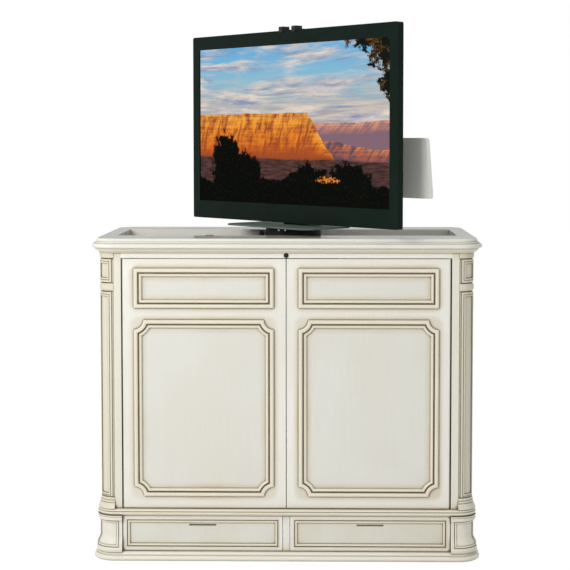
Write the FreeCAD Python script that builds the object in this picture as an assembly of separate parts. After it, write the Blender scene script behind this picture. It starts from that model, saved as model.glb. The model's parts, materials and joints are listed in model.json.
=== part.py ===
import FreeCAD, Part
import math
import os

# Television lift cabinet, millimetres. Origin: middle of the footprint, on the floor.
# +X is the cabinet's right seen from the front, the doors face -Y, +Z is up.
# It stands with its doors and drawers closed and the television raised and turned.

V = FreeCAD.Vector
X_AXIS, Y_AXIS, Z_AXIS = V(1, 0, 0), V(0, 1, 0), V(0, 0, 1)

# ---- cabinet envelope -------------------------------------------------------
BODY_WIDTH = 1392.0       # over the corner columns
BODY_DEPTH = 690.0        # door face to the back of the rear columns
TOTAL_HEIGHT = 1203.0
COLUMN_RADIUS = 57.0      # quarter-round corner columns
STILE_WIDTH = 27.0        # flat strip beside each column
BOARD = 18.0              # carcass boards
DEEP_RAIL = 25.0          # rails behind the waist bead and above the doors
SIDE_INSET = 12.0         # side panels behind the columns' outer line

# ---- heights ----------------------------------------------------------------
BASE_HEIGHT = 32.0
DRAWER_ZONE = 136.0
WAIST_HEIGHT = 25.0       # the doors take what these heights leave of the total
FRIEZE_HEIGHT = 19.0
CORNICE_HEIGHT = 17.0
RIM_HEIGHT = 37.0
TOP_BOARD = 25.0          # flat boards of the top frame

# ---- top opening and lift axis ----------------------------------------------
TOP_BORDER = 160.0        # body's front and back to the opening
TOP_BORDER_END = 51.0     # body's ends to the opening
LIFT_X = 20.0             # turning axis, right of the cabinet's middle
TURN_ANGLE = -47.0        # television turned to the left of straight ahead

# ---- doors ------------------------------------------------------------------
DOOR_THICKNESS = 22.0
DOOR_GAP = 3.0
PIVOT_INSET = 8.0         # hinge pin from the door's outer edge and front face
PIVOT_RADIUS = 3.0
PIVOT_ENGAGE = 14.0       # pin length each side of the gap's middle
PIVOT_END_GAP = 0.5       # hole in the door beyond the pin's end
RUNNING_FIT = 0.05        # radial
PANEL_MARGIN = 44.0       # door edge to the panel moulding
PANEL_TOP_MARGIN = 35.0
UPPER_PANEL_HEIGHT = 148.0
PANEL_SPACING = 43.0
SCOOP_RADIUS = 36.0

# ---- drawers ----------------------------------------------------------------
CENTRE_STILE = 25.0
DRAWER_GAP = 2.0
DRAWER_FRONT = 20.0
DRAWER_BACK_ROOM = 40.0   # drawer box's back to the deck's rear edge
DRAWER_WALL = 12.0
DRAWER_BOTTOM = 6.0
DRAWER_FLOOR_CLEARANCE = 16.0
DRAWER_HEADROOM = 20.0
RUNNER_SPACE = 13.0
RUNNER_HEIGHT = 40.0
RUNNER_WEB = 2.0
RUNNER_SETBACK = 2.0      # runner's front end behind the drawer front
RUNNER_SIDE_GAP = 1.5     # runner's open face to the drawer box
SLIDE_HEIGHT = 24.0
SLIDE_GAP = 0.5
SLIDE_SETBACK = 2.0       # slide's ends inside the runner's
POCKET_MARGIN = 15.0      # drawer front's flat border
POCKET_DEPTH = 5.0
FINGER_SLOT_WIDTH = 100.0
FINGER_SLOT_HEIGHT = 7.0
FINGER_SLOT_DROP = 36.0   # drawer front's top edge to the slot's middle
FINGER_ROOM_SIDE = 10.0   # notch in the drawer box wall, beyond the slot
FINGER_ROOM_BELOW = 14.0

# ---- back -------------------------------------------------------------------
BACK_THICKNESS = 12.0
CABLE_OUTLET_WIDTH = 140.0
CABLE_OUTLET_HEIGHT = 60.0
CABLE_OUTLET_Z = 330.0
GROMMET_WALL = 4.0
GROMMET_LIP = 8.0

# ---- small fittings ---------------------------------------------------------
EYE_RADIUS = 9.0
EYE_HEIGHT = 7.0
EYE_STEM_RADIUS = 4.0
LATCH_WIDTH = 16.0
LATCH_LENGTH = 60.0
LATCH_HEIGHT = 14.0
LATCH_X = 60.0
LATCH_TAB = 4.0
CONTROL_WIDTH = 170.0
CONTROL_DEPTH = 44.0
CONTROL_HEIGHT = 110.0
CONTROL_FILLET = 4.0
CONTROL_INSET = 309.0     # from the back panel's end
CONTROL_Z = 300.0

# ---- lift tower -------------------------------------------------------------
LIFT_PLATE_THICKNESS = 8.0
ROD_RADIUS = 10.0
ROD_SPACING = 300.0
ROD_SETBACK = 70.0        # rods behind the opening's rear edge
PLATE_OVERHANG = 30.0     # base plate and crosshead beyond the carriage
PLATE_HALF_DEPTH = 45.0
CROSSHEAD_FRONT = 30.0    # crosshead's front edge before the rods
GEARBOX_WIDTH = 90.0
GEARBOX_DEPTH = 84.0
GEARBOX_HEIGHT = 40.0
SCREW_RADIUS = 8.0
MOTOR_RADIUS = 38.0
MOTOR_HEIGHT = 104.0
COUPLING_RADIUS = 14.0
COUPLING_HEIGHT = 34.0
COUPLING_FLAT = 11.0      # flats from the screw's axis
COUPLING_FLAT_HEIGHT = 8.0
CROSSHEAD_HEIGHT = 15.0
CROSSHEAD_DROP = 25.0     # crosshead's top below the top boards
CARRIAGE_WIDTH = 360.0
CARRIAGE_DEPTH = 60.0
CARRIAGE_HEIGHT = 112.0
CARRIAGE_STOP_GAP = 2.0   # carriage to crosshead when fully up
SWITCH_RAIL = 12.0
SWITCH_RAIL_DEPTH = 20.0
SWITCH_DEPTH = 12.0
SWITCH_WIDTH = 16.0
SWITCH_GAP = 3.0
SWITCH_HEIGHT = 34.0
SWITCH_LOW = 160.0        # lower switch above the base plate
SWITCH_TOP_LIFT = 20.0    # upper switch above the raised carriage's foot
BUSH_WALL = 4.0
BUSH_HEIGHT = 30.0
NUT_RADIUS = 16.0
NUT_HEIGHT = 40.0
ARM_WIDTH = 260.0
ARM_PLATE = 20.0
SHELF_THICKNESS = 10.0
GUSSET_THICKNESS = 12.0
GUSSET_DROP = 80.0

# ---- turntable --------------------------------------------------------------
TURNTABLE_RADIUS = 108.0
TURNTABLE_TOP = 25.0      # platform's top above the cabinet's top
PLATFORM_THICKNESS = 38.0
TURNTABLE_BASE = 12.0
SPINDLE_RADIUS = 15.0
THRUST_INNER = 60.0
THRUST_OUTER = 96.0
THRUST_HEIGHT = 4.0
SHELF_MARGIN = 4.0        # shelf beyond the turntable
SPINDLE_END = 6.0
SPINDLE_NUT_WALL = 9.0
PLATFORM_FILLET = 9.0
SEAT_GAP = 0.3

# ---- television -------------------------------------------------------------
SCREEN_WIDTH = 1107.0
SCREEN_HEIGHT = 623.0
BEZEL_SIDE = 42.0
BEZEL_TOP = 54.0
BEZEL_BOTTOM = 72.0
BEZEL_DEPTH = 28.0
BEZEL_LIP = 6.0
BEZEL_CORNER = 8.0
SCREEN_OVERLAP = 5.0
PANEL_PLAY = 0.5          # pocket around the screen
SCREEN_THICKNESS = 6.0
SCREEN_SETFORWARD = 24.0  # screen plane in front of the turning axis
CHASSIS_THICKNESS = 6.0
SHELL_INSET = 12.0
SHELL_DEPTH = 40.0
SHELL_TAPER = 75.0
SHELL_WALL = 3.0
TV_CLEARANCE = 7.0        # television's lower edge above its foot
FOOT_WIDTH = 500.0
FOOT_DEPTH = 260.0
FOOT_SETFORWARD = 30.0    # foot's middle in front of the turning axis
FOOT_THICKNESS = 6.0
FOOT_CORNER = 60.0
FOOT_CHAMFER = 2.5
NECK_WIDTH = 120.0
NECK_DEPTH = 26.0
NECK_SETBACK = 15.0
POST_WIDTH = 94.0
POST_THICKNESS = 6.0
POST_SETBACK = 100.0      # post behind the turning axis
POST_FLANGE = 40.0
HOOK_WIDTH = 20.0
HOOK_THICKNESS = 16.0
HOOK_LIP = 5.0
HOOK_DROP = 7.0
HOOK_ARM = 14.0           # arm from the hook back to the post
HOOK_ARM_DROP = 70.0      # arm's top below the television's top
COVER_HEIGHT = 224.0
COVER_WIDTH_TOP = 1158.0
COVER_WIDTH_BOTTOM = 1202.0
COVER_CORNER = 12.0
COVER_THICKNESS = 18.0
COVER_SETBACK = 136.0
COVER_LIFT = 108.0        # cover's lower edge above the television's
STANDOFF_RADIUS = 9.0
STANDOFF_INSET = 40.0     # standoffs from the cover's edges

# ---- worked out from the above ----------------------------------------------
HALF_W = BODY_WIDTH / 2
HALF_D = BODY_DEPTH / 2
FRONT = -HALF_D
COLUMN_X = HALF_W - COLUMN_RADIUS
COLUMN_Y = HALF_D - COLUMN_RADIUS
BAY_HALF = COLUMN_X - STILE_WIDTH
DRAWER_TOP = BASE_HEIGHT + DRAWER_ZONE
DOOR_BOTTOM = DRAWER_TOP + WAIST_HEIGHT
RIM_BOTTOM = TOTAL_HEIGHT - RIM_HEIGHT
CORNICE_BOTTOM = RIM_BOTTOM - CORNICE_HEIGHT
DOOR_TOP = CORNICE_BOTTOM - FRIEZE_HEIGHT
TOP_UNDERSIDE = TOTAL_HEIGHT - TOP_BOARD
SIDE_OUTER = HALF_W - SIDE_INSET
SIDE_INNER = SIDE_OUTER - BOARD
RAIL_INNER_Y = HALF_D - DEEP_RAIL
BACK_INNER_Y = RAIL_INNER_Y - BACK_THICKNESS
OPENING_X = HALF_W - TOP_BORDER_END
OPENING_Y = HALF_D - TOP_BORDER
ROD_Y = OPENING_Y + ROD_SETBACK
LIFT_FLOOR = BOARD + LIFT_PLATE_THICKNESS
CROSSHEAD_TOP = TOP_UNDERSIDE - CROSSHEAD_DROP
CROSSHEAD_BOTTOM = CROSSHEAD_TOP - CROSSHEAD_HEIGHT
PLATFORM_TOP = TOTAL_HEIGHT + TURNTABLE_TOP
PLATFORM_BOTTOM = PLATFORM_TOP - PLATFORM_THICKNESS
SHELF_TOP = PLATFORM_BOTTOM - THRUST_HEIGHT - TURNTABLE_BASE
SHELF_BOTTOM = SHELF_TOP - SHELF_THICKNESS
CARRIAGE_TOP = CROSSHEAD_BOTTOM - CARRIAGE_STOP_GAP
CARRIAGE_BOTTOM = CARRIAGE_TOP - CARRIAGE_HEIGHT
CARRIAGE_FRONT = ROD_Y - CARRIAGE_DEPTH / 2
MOTOR_TOP = LIFT_FLOOR + MOTOR_HEIGHT
COUPLING_BOTTOM = MOTOR_TOP + SEAT_GAP
SCREW_BOTTOM = COUPLING_BOTTOM + COUPLING_HEIGHT / 2
FOOT_TOP = PLATFORM_TOP + FOOT_THICKNESS
TV_BOTTOM = FOOT_TOP + TV_CLEARANCE
TV_WIDTH = SCREEN_WIDTH + 2 * BEZEL_SIDE
TV_HEIGHT = SCREEN_HEIGHT + BEZEL_TOP + BEZEL_BOTTOM
TV_TOP = TV_BOTTOM + TV_HEIGHT
SCREEN_Z = TV_BOTTOM + BEZEL_BOTTOM + SCREEN_HEIGHT / 2
BEZEL_FRONT = -SCREEN_SETFORWARD - BEZEL_LIP
BEZEL_BACK = BEZEL_FRONT + BEZEL_DEPTH
SHELL_CLEAR_Y = BEZEL_BACK + SHELL_DEPTH + SEAT_GAP    # just behind the television's back

# Profiles across a moulding: (distance inward from its outer edge, height).
DOOR_MOULDING = [(0, 0), (0, 3.5), (1.5, 6.6), (5, 8.6), (10, 8.8), (14.2, 7.0), (16.2, 3.0),
                 (16.6, 1.2), (19.2, 1.2), (19.6, 4.4), (22, 6.8), (25.8, 6.8), (29, 5.2), (30.6, 2.6),
                 (31, 0.8), (33, 0.8), (33, 0)]
DRAWER_MOULDING = [(0, 0), (0, 0.6), (2.6, 0.6), (3.0, 4.0), (5.0, 6.0), (8.4, 6.0), (11.2, 4.0),
                   (11.8, 0.6), (14, 0.6), (14, 0)]
# Bands round the cabinet: (distance outward from the body line, share of the band's height).
BASE_BAND = [(6, 1.0), (12, 0.97), (15.5, 0.90), (17.5, 0.79), (17, 0.68), (16.5, 0.62), (20, 0.61),
             (25, 0.54), (28, 0.41), (28.5, 0.28), (27, 0.13), (23, 0.03), (20, 0)]
WAIST_BAND = [(2, 1.0), (7, 0.98), (11, 0.91), (12.5, 0.80), (12.5, 0.68), (10.5, 0.61), (12.5, 0.57),
              (14.5, 0.50), (14.5, 0.36), (12, 0.2), (8, 0.13), (6.5, 0.1), (6, 0)]
CORNICE_BAND = [(20, 1.0), (19.5, 0.86), (15.5, 0.55), (13.5, 0.44), (13, 0.38), (10, 0.34), (6.5, 0.12),
                (4, 0)]
RIM_BAND = [(6, 1.0), (9, 0.98), (11.5, 0.92), (13, 0.825), (13.5, 0.70), (13, 0.66), (16.5, 0.65),
            (18, 0.61), (18.5, 0.53), (18, 0.50), (23, 0.49), (27, 0.445), (30, 0.35), (31, 0.24),
            (30.5, 0.135), (28, 0.06), (24, 0.016), (21, 0)]
# Column outline: (height above its foot, distance beyond the column's radius).
# PLINTH_HEAD is measured down from the head of the plinth block.
COLUMN_FOOT = [(0, 13), (3, 13), (10, 9.5), (18, 5.5), (20.5, 4.6), (21.5, 3.0), (23, 3.0), (24, 4.4),
               (28, 3.4), (30, 3.0), (31, 1.4), (32.5, 1.4), (33.5, 2.6), (38, 1.6), (41, 1.2),
               (42, -2), (45, -2), (46, 0)]
PLINTH_FOOT = [(0, 20), (10, 20), (14, 18.5), (18, 17), (26, 17), (31, 16), (37, 13.5), (45, 9), (52, 6),
               (60, 5)]
PLINTH_HEAD = [(32, 5), (27, 6), (22, 9), (18, 13), (14, 14), (8, 14), (6, 12.5), (4, 14), (1, 14.5), (0, 13)]
BLOCK_HEIGHT = 27.0       # rounded block between the two framed panels
BLOCK_EDGE = 6.0
BLOCK_REACH = 1.5
SMALL_PANEL_HEIGHT = 85.0
GROOVE = 5.0              # height of the dark grooves between the blocks
GROOVE_DEPTH = 4.0
CAP_REACH = 2.0
# Framed panels on the round columns: depths, and widths measured round the column.
SIDE_GROOVE = 9.0
SIDE_GROOVE_DEPTH = 3.0
LINE_INSET = 7.0          # from the frame's edge to the line round it
LINE_WIDTH = 2.4
LINE_DEPTH = 2.0
FIELD_INSET = 15.0        # from the frame's edge to its sunk field
FIELD_DEPTH = 3.5
PLINTH_FRAME = 12.0       # plain edge beside a plinth block's framed panel
PLINTH_PANEL_LOW = 17.0   # framed panel from the block's foot
PLINTH_PANEL_HIGH = 19.0  # and from its head
PLINTH_STEPS = [(0, 3.2), (3.0, 0.8), (9.0, 3.2)]     # (inset from the frame's edge, depth)


# ---- small helpers ----------------------------------------------------------
def box(x0, x1, y0, y1, z0, z1):
    return Part.makeBox(x1 - x0, y1 - y0, z1 - z0, V(x0, y0, z0))


def cyl(radius, x, y, z0, z1):
    return Part.makeCylinder(radius, z1 - z0, V(x, y, z0))


def ring(outer, inner, x, y, z0, z1):
    return cyl(outer, x, y, z0, z1).cut(cyl(inner, x, y, z0, z1))


def mirror_x(shape):
    return shape.mirror(V(0, 0, 0), X_AXIS)


def mirror_y(shape):
    return shape.mirror(V(0, 0, 0), Y_AXIS)


def face_of(points):
    """A flat face through points, closed."""
    return Part.Face(Part.makePolygon([V(*p) for p in points] + [V(*points[0])]))


def both_sides(shape):
    """A piece and its mirror image across the middle of the width, by side."""
    return {"left": mirror_x(shape), "right": shape}


def pair(shape):
    """A piece and its mirror image as one group."""
    return Part.makeCompound([mirror_x(shape), shape])


def rounded_plate(width, height, thickness, radius):
    """A plate in XZ around the origin, from Y 0 to its thickness, with rounded corners."""
    plate = box(-width / 2, width / 2, 0, thickness, -height / 2, height / 2)
    edges = [e for e in plate.Edges if abs(e.tangentAt(e.FirstParameter).y) > 0.99]
    return plate.makeFillet(radius, edges)


# ---- bands that run round the cabinet ---------------------------------------
def band(profile, z0, height):
    """A moulded band as wide as the columns, with its corners turned round theirs."""
    outline = [(-COLUMN_RADIUS, 0)] + [(d, share * height) for d, share in reversed(profile)]
    outline += [(-COLUMN_RADIUS, height)]
    front = face_of([(-COLUMN_X, -HALF_D - d, z0 + h) for d, h in outline]).extrude(V(2 * COLUMN_X, 0, 0))
    side = face_of([(HALF_W + d, -COLUMN_Y, z0 + h) for d, h in outline]).extrude(V(0, 2 * COLUMN_Y, 0))
    corner = face_of([(HALF_W + d, -COLUMN_Y, z0 + h) for d, h in outline])
    corner = corner.revolve(V(COLUMN_X, -COLUMN_Y, 0), Z_AXIS, -90)
    pieces = [mirror_y(front), side, mirror_x(side), corner, mirror_x(corner), mirror_y(corner),
              mirror_y(mirror_x(corner))]
    return front.fuse(pieces).removeSplitter()


def inside(rail_y, z0, z1):
    """The space inside the bands: between the side panels, and between the rails."""
    across = box(-SIDE_OUTER, SIDE_OUTER, -COLUMN_Y, COLUMN_Y, z0, z1)
    along = box(-COLUMN_X, COLUMN_X, -rail_y, rail_y, z0, z1)
    return across.fuse(along).removeSplitter()


def base_frame():
    return band(BASE_BAND, 0, BASE_HEIGHT).cut(inside(RAIL_INNER_Y, 0, BASE_HEIGHT))


def waist_frame():
    frame = band(WAIST_BAND, DRAWER_TOP, WAIST_HEIGHT).cut(inside(RAIL_INNER_Y, DRAWER_TOP, DOOR_BOTTOM))
    return frame.cut(pivot_holes(PIVOT_RADIUS))


def cornice():
    ring_band = band(CORNICE_BAND, CORNICE_BOTTOM, CORNICE_HEIGHT)
    return ring_band.cut(inside(RAIL_INNER_Y, CORNICE_BOTTOM, RIM_BOTTOM))


def top_frame():
    rim = band(RIM_BAND, RIM_BOTTOM, RIM_HEIGHT)
    boards = box(-COLUMN_X, COLUMN_X, -COLUMN_Y, COLUMN_Y, TOP_UNDERSIDE, TOTAL_HEIGHT)
    opening = box(-OPENING_X, OPENING_X, -OPENING_Y, OPENING_Y, RIM_BOTTOM, TOTAL_HEIGHT)
    below = inside(RAIL_INNER_Y, RIM_BOTTOM, TOP_UNDERSIDE)
    return rim.fuse(boards).cut(below).cut(opening).removeSplitter()


# ---- carcass ----------------------------------------------------------------
def bottom_board():
    return inside(RAIL_INNER_Y, 0, BOARD)


def side_panel():
    return box(SIDE_INNER, SIDE_OUTER, -COLUMN_Y, COLUMN_Y, BOARD, TOP_UNDERSIDE)


def back_panel():
    panel = box(-COLUMN_X, COLUMN_X, BACK_INNER_Y, RAIL_INNER_Y, BOARD, TOP_UNDERSIDE)
    w, h = CABLE_OUTLET_WIDTH / 2, CABLE_OUTLET_HEIGHT / 2
    return panel.cut(outlet_block(w, h, BACK_INNER_Y, RAIL_INNER_Y))


def outlet_block(half_width, half_height, y0, y1):
    return box(-half_width, half_width, y0, y1, CABLE_OUTLET_Z - half_height, CABLE_OUTLET_Z + half_height)


def cable_grommet():
    w, h = CABLE_OUTLET_WIDTH / 2, CABLE_OUTLET_HEIGHT / 2
    sleeve = outlet_block(w, h, BACK_INNER_Y, RAIL_INNER_Y)
    lip = outlet_block(w + GROMMET_LIP, h + GROMMET_LIP, RAIL_INNER_Y, RAIL_INNER_Y + GROMMET_WALL)
    hole = outlet_block(w - GROMMET_WALL, h - GROMMET_WALL, BACK_INNER_Y, RAIL_INNER_Y + GROMMET_WALL)
    return sleeve.fuse(lip).cut(hole).removeSplitter()


def stile():
    return box(BAY_HALF, COLUMN_X, FRONT, -RAIL_INNER_Y, DOOR_BOTTOM, CORNICE_BOTTOM)


def frieze_rail():
    rail = box(-BAY_HALF, BAY_HALF, FRONT, -RAIL_INNER_Y, DOOR_TOP, CORNICE_BOTTOM)
    eye_z = DOOR_TOP + FRIEZE_HEIGHT / 2
    stem = Part.makeCylinder(EYE_STEM_RADIUS, DEEP_RAIL, V(0, FRONT, eye_z), Y_AXIS)
    return rail.cut(stem).cut(pivot_holes(PIVOT_RADIUS))


def ir_eye():
    z = DOOR_TOP + FRIEZE_HEIGHT / 2
    sphere_radius = (EYE_RADIUS ** 2 + EYE_HEIGHT ** 2) / (2 * EYE_HEIGHT)
    r, tip = EYE_RADIUS, FRONT - EYE_HEIGHT
    dome = Part.makeSphere(sphere_radius, V(0, tip + sphere_radius, z), Y_AXIS)
    dome = dome.common(box(-2 * r, 2 * r, tip, FRONT, z - 2 * r, z + 2 * r))
    stem = Part.makeCylinder(EYE_STEM_RADIUS, DEEP_RAIL, V(0, FRONT, z), Y_AXIS)
    return dome.fuse(stem).removeSplitter()


# ---- corner columns ---------------------------------------------------------
def quarter(points):
    """A quarter-round solid at the right front corner from (radius, height) points up its outside."""
    outline = [(COLUMN_X, -COLUMN_Y, points[0][1])]
    outline += [(COLUMN_X + r, -COLUMN_Y, z) for r, z in points] + [(COLUMN_X, -COLUMN_Y, points[-1][1])]
    return face_of(outline).revolve(V(COLUMN_X, -COLUMN_Y, 0), Z_AXIS, -90)


def angle_of(width):
    """The angle that a width covers round a column, in degrees."""
    return math.degrees(width / COLUMN_RADIUS)


def wedge(depth, from_angle, to_angle, z0, z1):
    """A cut into the right front column's surface between two angles and two heights."""
    inner, outer = COLUMN_RADIUS - depth, 2 * COLUMN_RADIUS
    corners = ((inner, z0), (outer, z0), (outer, z1), (inner, z1))
    wall = face_of([(COLUMN_X + r, -COLUMN_Y, z) for r, z in corners])
    turned_wall = wall.rotate(V(COLUMN_X, -COLUMN_Y, 0), Z_AXIS, -from_angle)
    return turned_wall.revolve(V(COLUMN_X, -COLUMN_Y, 0), Z_AXIS, -(to_angle - from_angle))


def framed_panel(z0, z1):
    """Cuts that leave a raised frame: grooves at its sides, a line round it and a sunk field."""
    edge = angle_of(SIDE_GROOVE)
    cuts = [wedge(SIDE_GROOVE_DEPTH, 0, edge, z0, z1), wedge(SIDE_GROOVE_DEPTH, 90 - edge, 90, z0, z1)]
    line = [edge + angle_of(LINE_INSET), z0 + LINE_INSET, z1 - LINE_INSET]
    inner = [line[0] + angle_of(LINE_WIDTH), line[1] + LINE_WIDTH, line[2] - LINE_WIDTH]
    outline = wedge(LINE_DEPTH, line[0], 90 - line[0], line[1], line[2])
    cuts.append(outline.cut(wedge(LINE_DEPTH, inner[0], 90 - inner[0], inner[1], inner[2])))
    field = edge + angle_of(FIELD_INSET)
    cuts.append(wedge(FIELD_DEPTH, field, 90 - field, z0 + FIELD_INSET, z1 - FIELD_INSET))
    return cuts


def column():
    r, g = COLUMN_RADIUS, COLUMN_RADIUS - GROOVE_DEPTH
    z_small = DOOR_TOP - SMALL_PANEL_HEIGHT - GROOVE
    z_block = z_small - GROOVE - BLOCK_HEIGHT
    b, e = r + BLOCK_REACH, BLOCK_EDGE
    points = [(r + d, DOOR_BOTTOM + h) for h, d in COLUMN_FOOT]
    points += [(r, z_block - GROOVE), (g, z_block - GROOVE), (g, z_block), (r - BLOCK_REACH, z_block)]
    points += [(b, z_block + e), (b, z_small - GROOVE - e), (r - BLOCK_REACH, z_small - GROOVE)]
    points += [(g, z_small - GROOVE), (g, z_small), (r, z_small)]
    points += [(r, DOOR_TOP - GROOVE), (g, DOOR_TOP - GROOVE), (g, DOOR_TOP), (r + CAP_REACH, DOOR_TOP)]
    points += [(r + CAP_REACH, CORNICE_BOTTOM)]
    solid = quarter(points)
    long_foot = DOOR_BOTTOM + COLUMN_FOOT[-1][0] - GROOVE
    for low, high in ((long_foot, z_block - GROOVE), (z_small, DOOR_TOP - GROOVE)):
        for cut in framed_panel(low, high):
            solid = solid.cut(cut)
    return solid


def plinth_solid(sunk):
    """The block under a column and the strip beside it as far as the drawer, with its face sunk."""
    profile = [(d - sunk, BASE_HEIGHT + h) for h, d in PLINTH_FOOT]
    profile += [(d - sunk, DRAWER_TOP - h) for h, d in PLINTH_HEAD]
    solid = quarter([(COLUMN_RADIUS + d, z) for d, z in profile])
    outline = [(BAY_HALF, -COLUMN_Y, profile[0][1])] + [(BAY_HALF, FRONT - d, z) for d, z in profile]
    outline += [(BAY_HALF, -COLUMN_Y, DRAWER_TOP)]
    strip = face_of(outline).extrude(V(STILE_WIDTH, 0, 0))
    behind = box(BAY_HALF, COLUMN_X, -RAIL_INNER_Y, -COLUMN_Y, BASE_HEIGHT, DRAWER_TOP)
    return solid.fuse(strip.cut(behind))


def plinth_window(inset):
    """The space in front of a plinth block's framed panel, inset from the frame's edge."""
    low, high = BASE_HEIGHT + PLINTH_PANEL_LOW + inset, DRAWER_TOP - PLINTH_PANEL_HIGH - inset
    edge = PLINTH_FRAME + inset
    around = wedge(COLUMN_RADIUS / 4, angle_of(edge), 90, low, high)
    front, back = FRONT - COLUMN_RADIUS, FRONT + COLUMN_RADIUS / 4
    return around.fuse(box(BAY_HALF + edge, COLUMN_X, front, back, low, high))


def plinth_block():
    solid = plinth_solid(0)
    windows = [plinth_window(inset) for inset, depth in PLINTH_STEPS]
    for (inset, depth), window, inner in zip(PLINTH_STEPS, windows, windows[1:] + [None]):
        recess = window.cut(plinth_solid(depth))
        solid = solid.cut(recess.cut(inner) if inner else recess)
    return solid.removeSplitter()


# ---- applied mouldings ------------------------------------------------------
def outline_edges(width, height, inset, radius, y):
    """Edges of a panel outline, inset, in the plane at y: straight sides and scooped corners."""
    w, h = width / 2 - inset, height / 2 - inset
    if radius == 0:
        points = [V(-w, y, -h), V(w, y, -h), V(w, y, h), V(-w, y, h)]
        return [Part.LineSegment(a, b).toShape() for a, b in zip(points, points[1:] + points[:1])]
    reach = math.sqrt((radius + inset) ** 2 - inset ** 2)
    cx, cz = width / 2, height / 2
    edges = []
    for sx, sz in ((1, -1), (1, 1), (-1, 1), (-1, -1)):
        low_first = sx * sz < 0
        on_x = V(sx * (cx - reach), y, sz * h)
        on_z = V(sx * w, y, sz * (cz - reach))
        half_way = (radius + inset) * math.sqrt(0.5)
        middle = V(sx * (cx - half_way), y, sz * (cz - half_way))
        start, end = (on_x, on_z) if low_first else (on_z, on_x)
        edges.append((start, Part.Arc(start, middle, end).toShape(), end))
    out = []
    for k, (start, arc, end) in enumerate(edges):
        out += [arc, Part.LineSegment(end, edges[(k + 1) % 4][0]).toShape()]
    return out


def moulding(width, height, profile, radius):
    """A closed moulding standing on the plane Y 0 and facing -Y, centred on the origin."""
    rows = [outline_edges(width, height, d, radius, -h) for d, h in profile]
    rows.append(rows[0])
    faces = []
    for row, following in zip(rows, rows[1:]):
        faces += [Part.makeRuledSurface(a, b) for a, b in zip(row, following)]
    shell = Part.makeShell([f for face in faces for f in face.Faces])
    shell.sewShape()
    solid = Part.makeSolid(Part.Shell(shell.Faces))
    if solid.Volume < 0:
        solid.reverse()
    return solid


def panel_layout(height):
    """The two panels of a door or side: (middle height above its foot, panel height, scoop)."""
    lower = height - PANEL_TOP_MARGIN - UPPER_PANEL_HEIGHT - PANEL_SPACING - PANEL_MARGIN
    return [(height - PANEL_TOP_MARGIN - UPPER_PANEL_HEIGHT / 2, UPPER_PANEL_HEIGHT, 0),
            (PANEL_MARGIN + lower / 2, lower, SCOOP_RADIUS)]


# ---- doors ------------------------------------------------------------------
DOOR_HEIGHT = DOOR_TOP - DOOR_BOTTOM - 2 * DOOR_GAP
DOOR_OUTER = BAY_HALF - DOOR_GAP
DOOR_INNER = DOOR_GAP / 2
PIVOT_X = DOOR_OUTER - PIVOT_INSET
PIVOT_Y = FRONT + PIVOT_INSET


def pivot_holes(radius, end_gap=0):
    """Where the hinge pins stand, as solids through the door gap, at both ends of both doors."""
    pins = []
    reach = PIVOT_ENGAGE + end_gap
    for x in (-PIVOT_X, PIVOT_X):
        for z in (DOOR_BOTTOM + DOOR_GAP / 2, DOOR_TOP - DOOR_GAP / 2):
            pins.append(cyl(radius, x, PIVOT_Y, z - reach, z + reach))
    return Part.makeCompound(pins)


def door():
    z0 = DOOR_BOTTOM + DOOR_GAP
    slab = box(DOOR_INNER, DOOR_OUTER, FRONT, FRONT + DOOR_THICKNESS, z0, z0 + DOOR_HEIGHT)
    edge = [e for e in slab.Edges if abs(e.CenterOfMass.x - DOOR_OUTER) < 1e-6
            and abs(e.CenterOfMass.y - FRONT) < 1e-6]
    slab = slab.makeFillet(PIVOT_INSET - 0.01, edge)
    return slab.cut(pivot_holes(PIVOT_RADIUS + RUNNING_FIT, PIVOT_END_GAP))


def door_mouldings():
    width = DOOR_OUTER - DOOR_INNER - 2 * PANEL_MARGIN
    middle = (DOOR_OUTER + DOOR_INNER) / 2
    out = []
    for z, height, scoop in panel_layout(DOOR_HEIGHT):
        shape = moulding(width, height, DOOR_MOULDING, scoop)
        out.append(shape.translated(V(middle, FRONT, DOOR_BOTTOM + DOOR_GAP + z)))
    return Part.makeCompound(out)


def side_mouldings():
    """The same two framed panels on the outside of a side panel, as one group."""
    width = 2 * COLUMN_Y - 2 * PANEL_MARGIN
    out = []
    for z, height, scoop in panel_layout(DOOR_HEIGHT):
        shape = moulding(width, height, DOOR_MOULDING, scoop).rotated(V(0, 0, 0), Z_AXIS, 90)
        out.append(shape.translated(V(SIDE_OUTER, 0, DOOR_BOTTOM + DOOR_GAP + z)))
    return Part.makeCompound(out)


def touch_latches():
    """Push latches under the frieze rail, behind each door's free edge."""
    y0 = FRONT + DOOR_THICKNESS + SEAT_GAP
    out = []
    for x in (-LATCH_X, LATCH_X):
        x0, x1 = x - LATCH_WIDTH / 2, x + LATCH_WIDTH / 2
        body = box(x0, x1, y0, y0 + LATCH_LENGTH, DOOR_TOP - LATCH_HEIGHT, DOOR_TOP)
        tab = box(x0, x1, -RAIL_INNER_Y, y0 + LATCH_LENGTH, DOOR_TOP, DOOR_TOP + LATCH_TAB)
        out.append(body.fuse(tab).removeSplitter())
    return Part.makeCompound(out)


# ---- drawers ----------------------------------------------------------------
DRAWER_X0 = CENTRE_STILE / 2 + DRAWER_GAP
DRAWER_X1 = BAY_HALF - DRAWER_GAP
DRAWER_Z0 = BASE_HEIGHT + DRAWER_GAP
DRAWER_Z1 = DRAWER_TOP - DRAWER_GAP
DRAWER_BACK = OPENING_Y - DRAWER_BACK_ROOM
TUB_X0 = CENTRE_STILE / 2 + RUNNER_SPACE
TUB_X1 = BAY_HALF - RUNNER_SPACE
TUB_Z0 = DRAWER_Z0 + DRAWER_FLOOR_CLEARANCE
TUB_Z1 = DRAWER_Z1 - DRAWER_HEADROOM
RUNNER_Z = (TUB_Z0 + TUB_Z1) / 2
DECK_BACK = OPENING_Y


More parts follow.
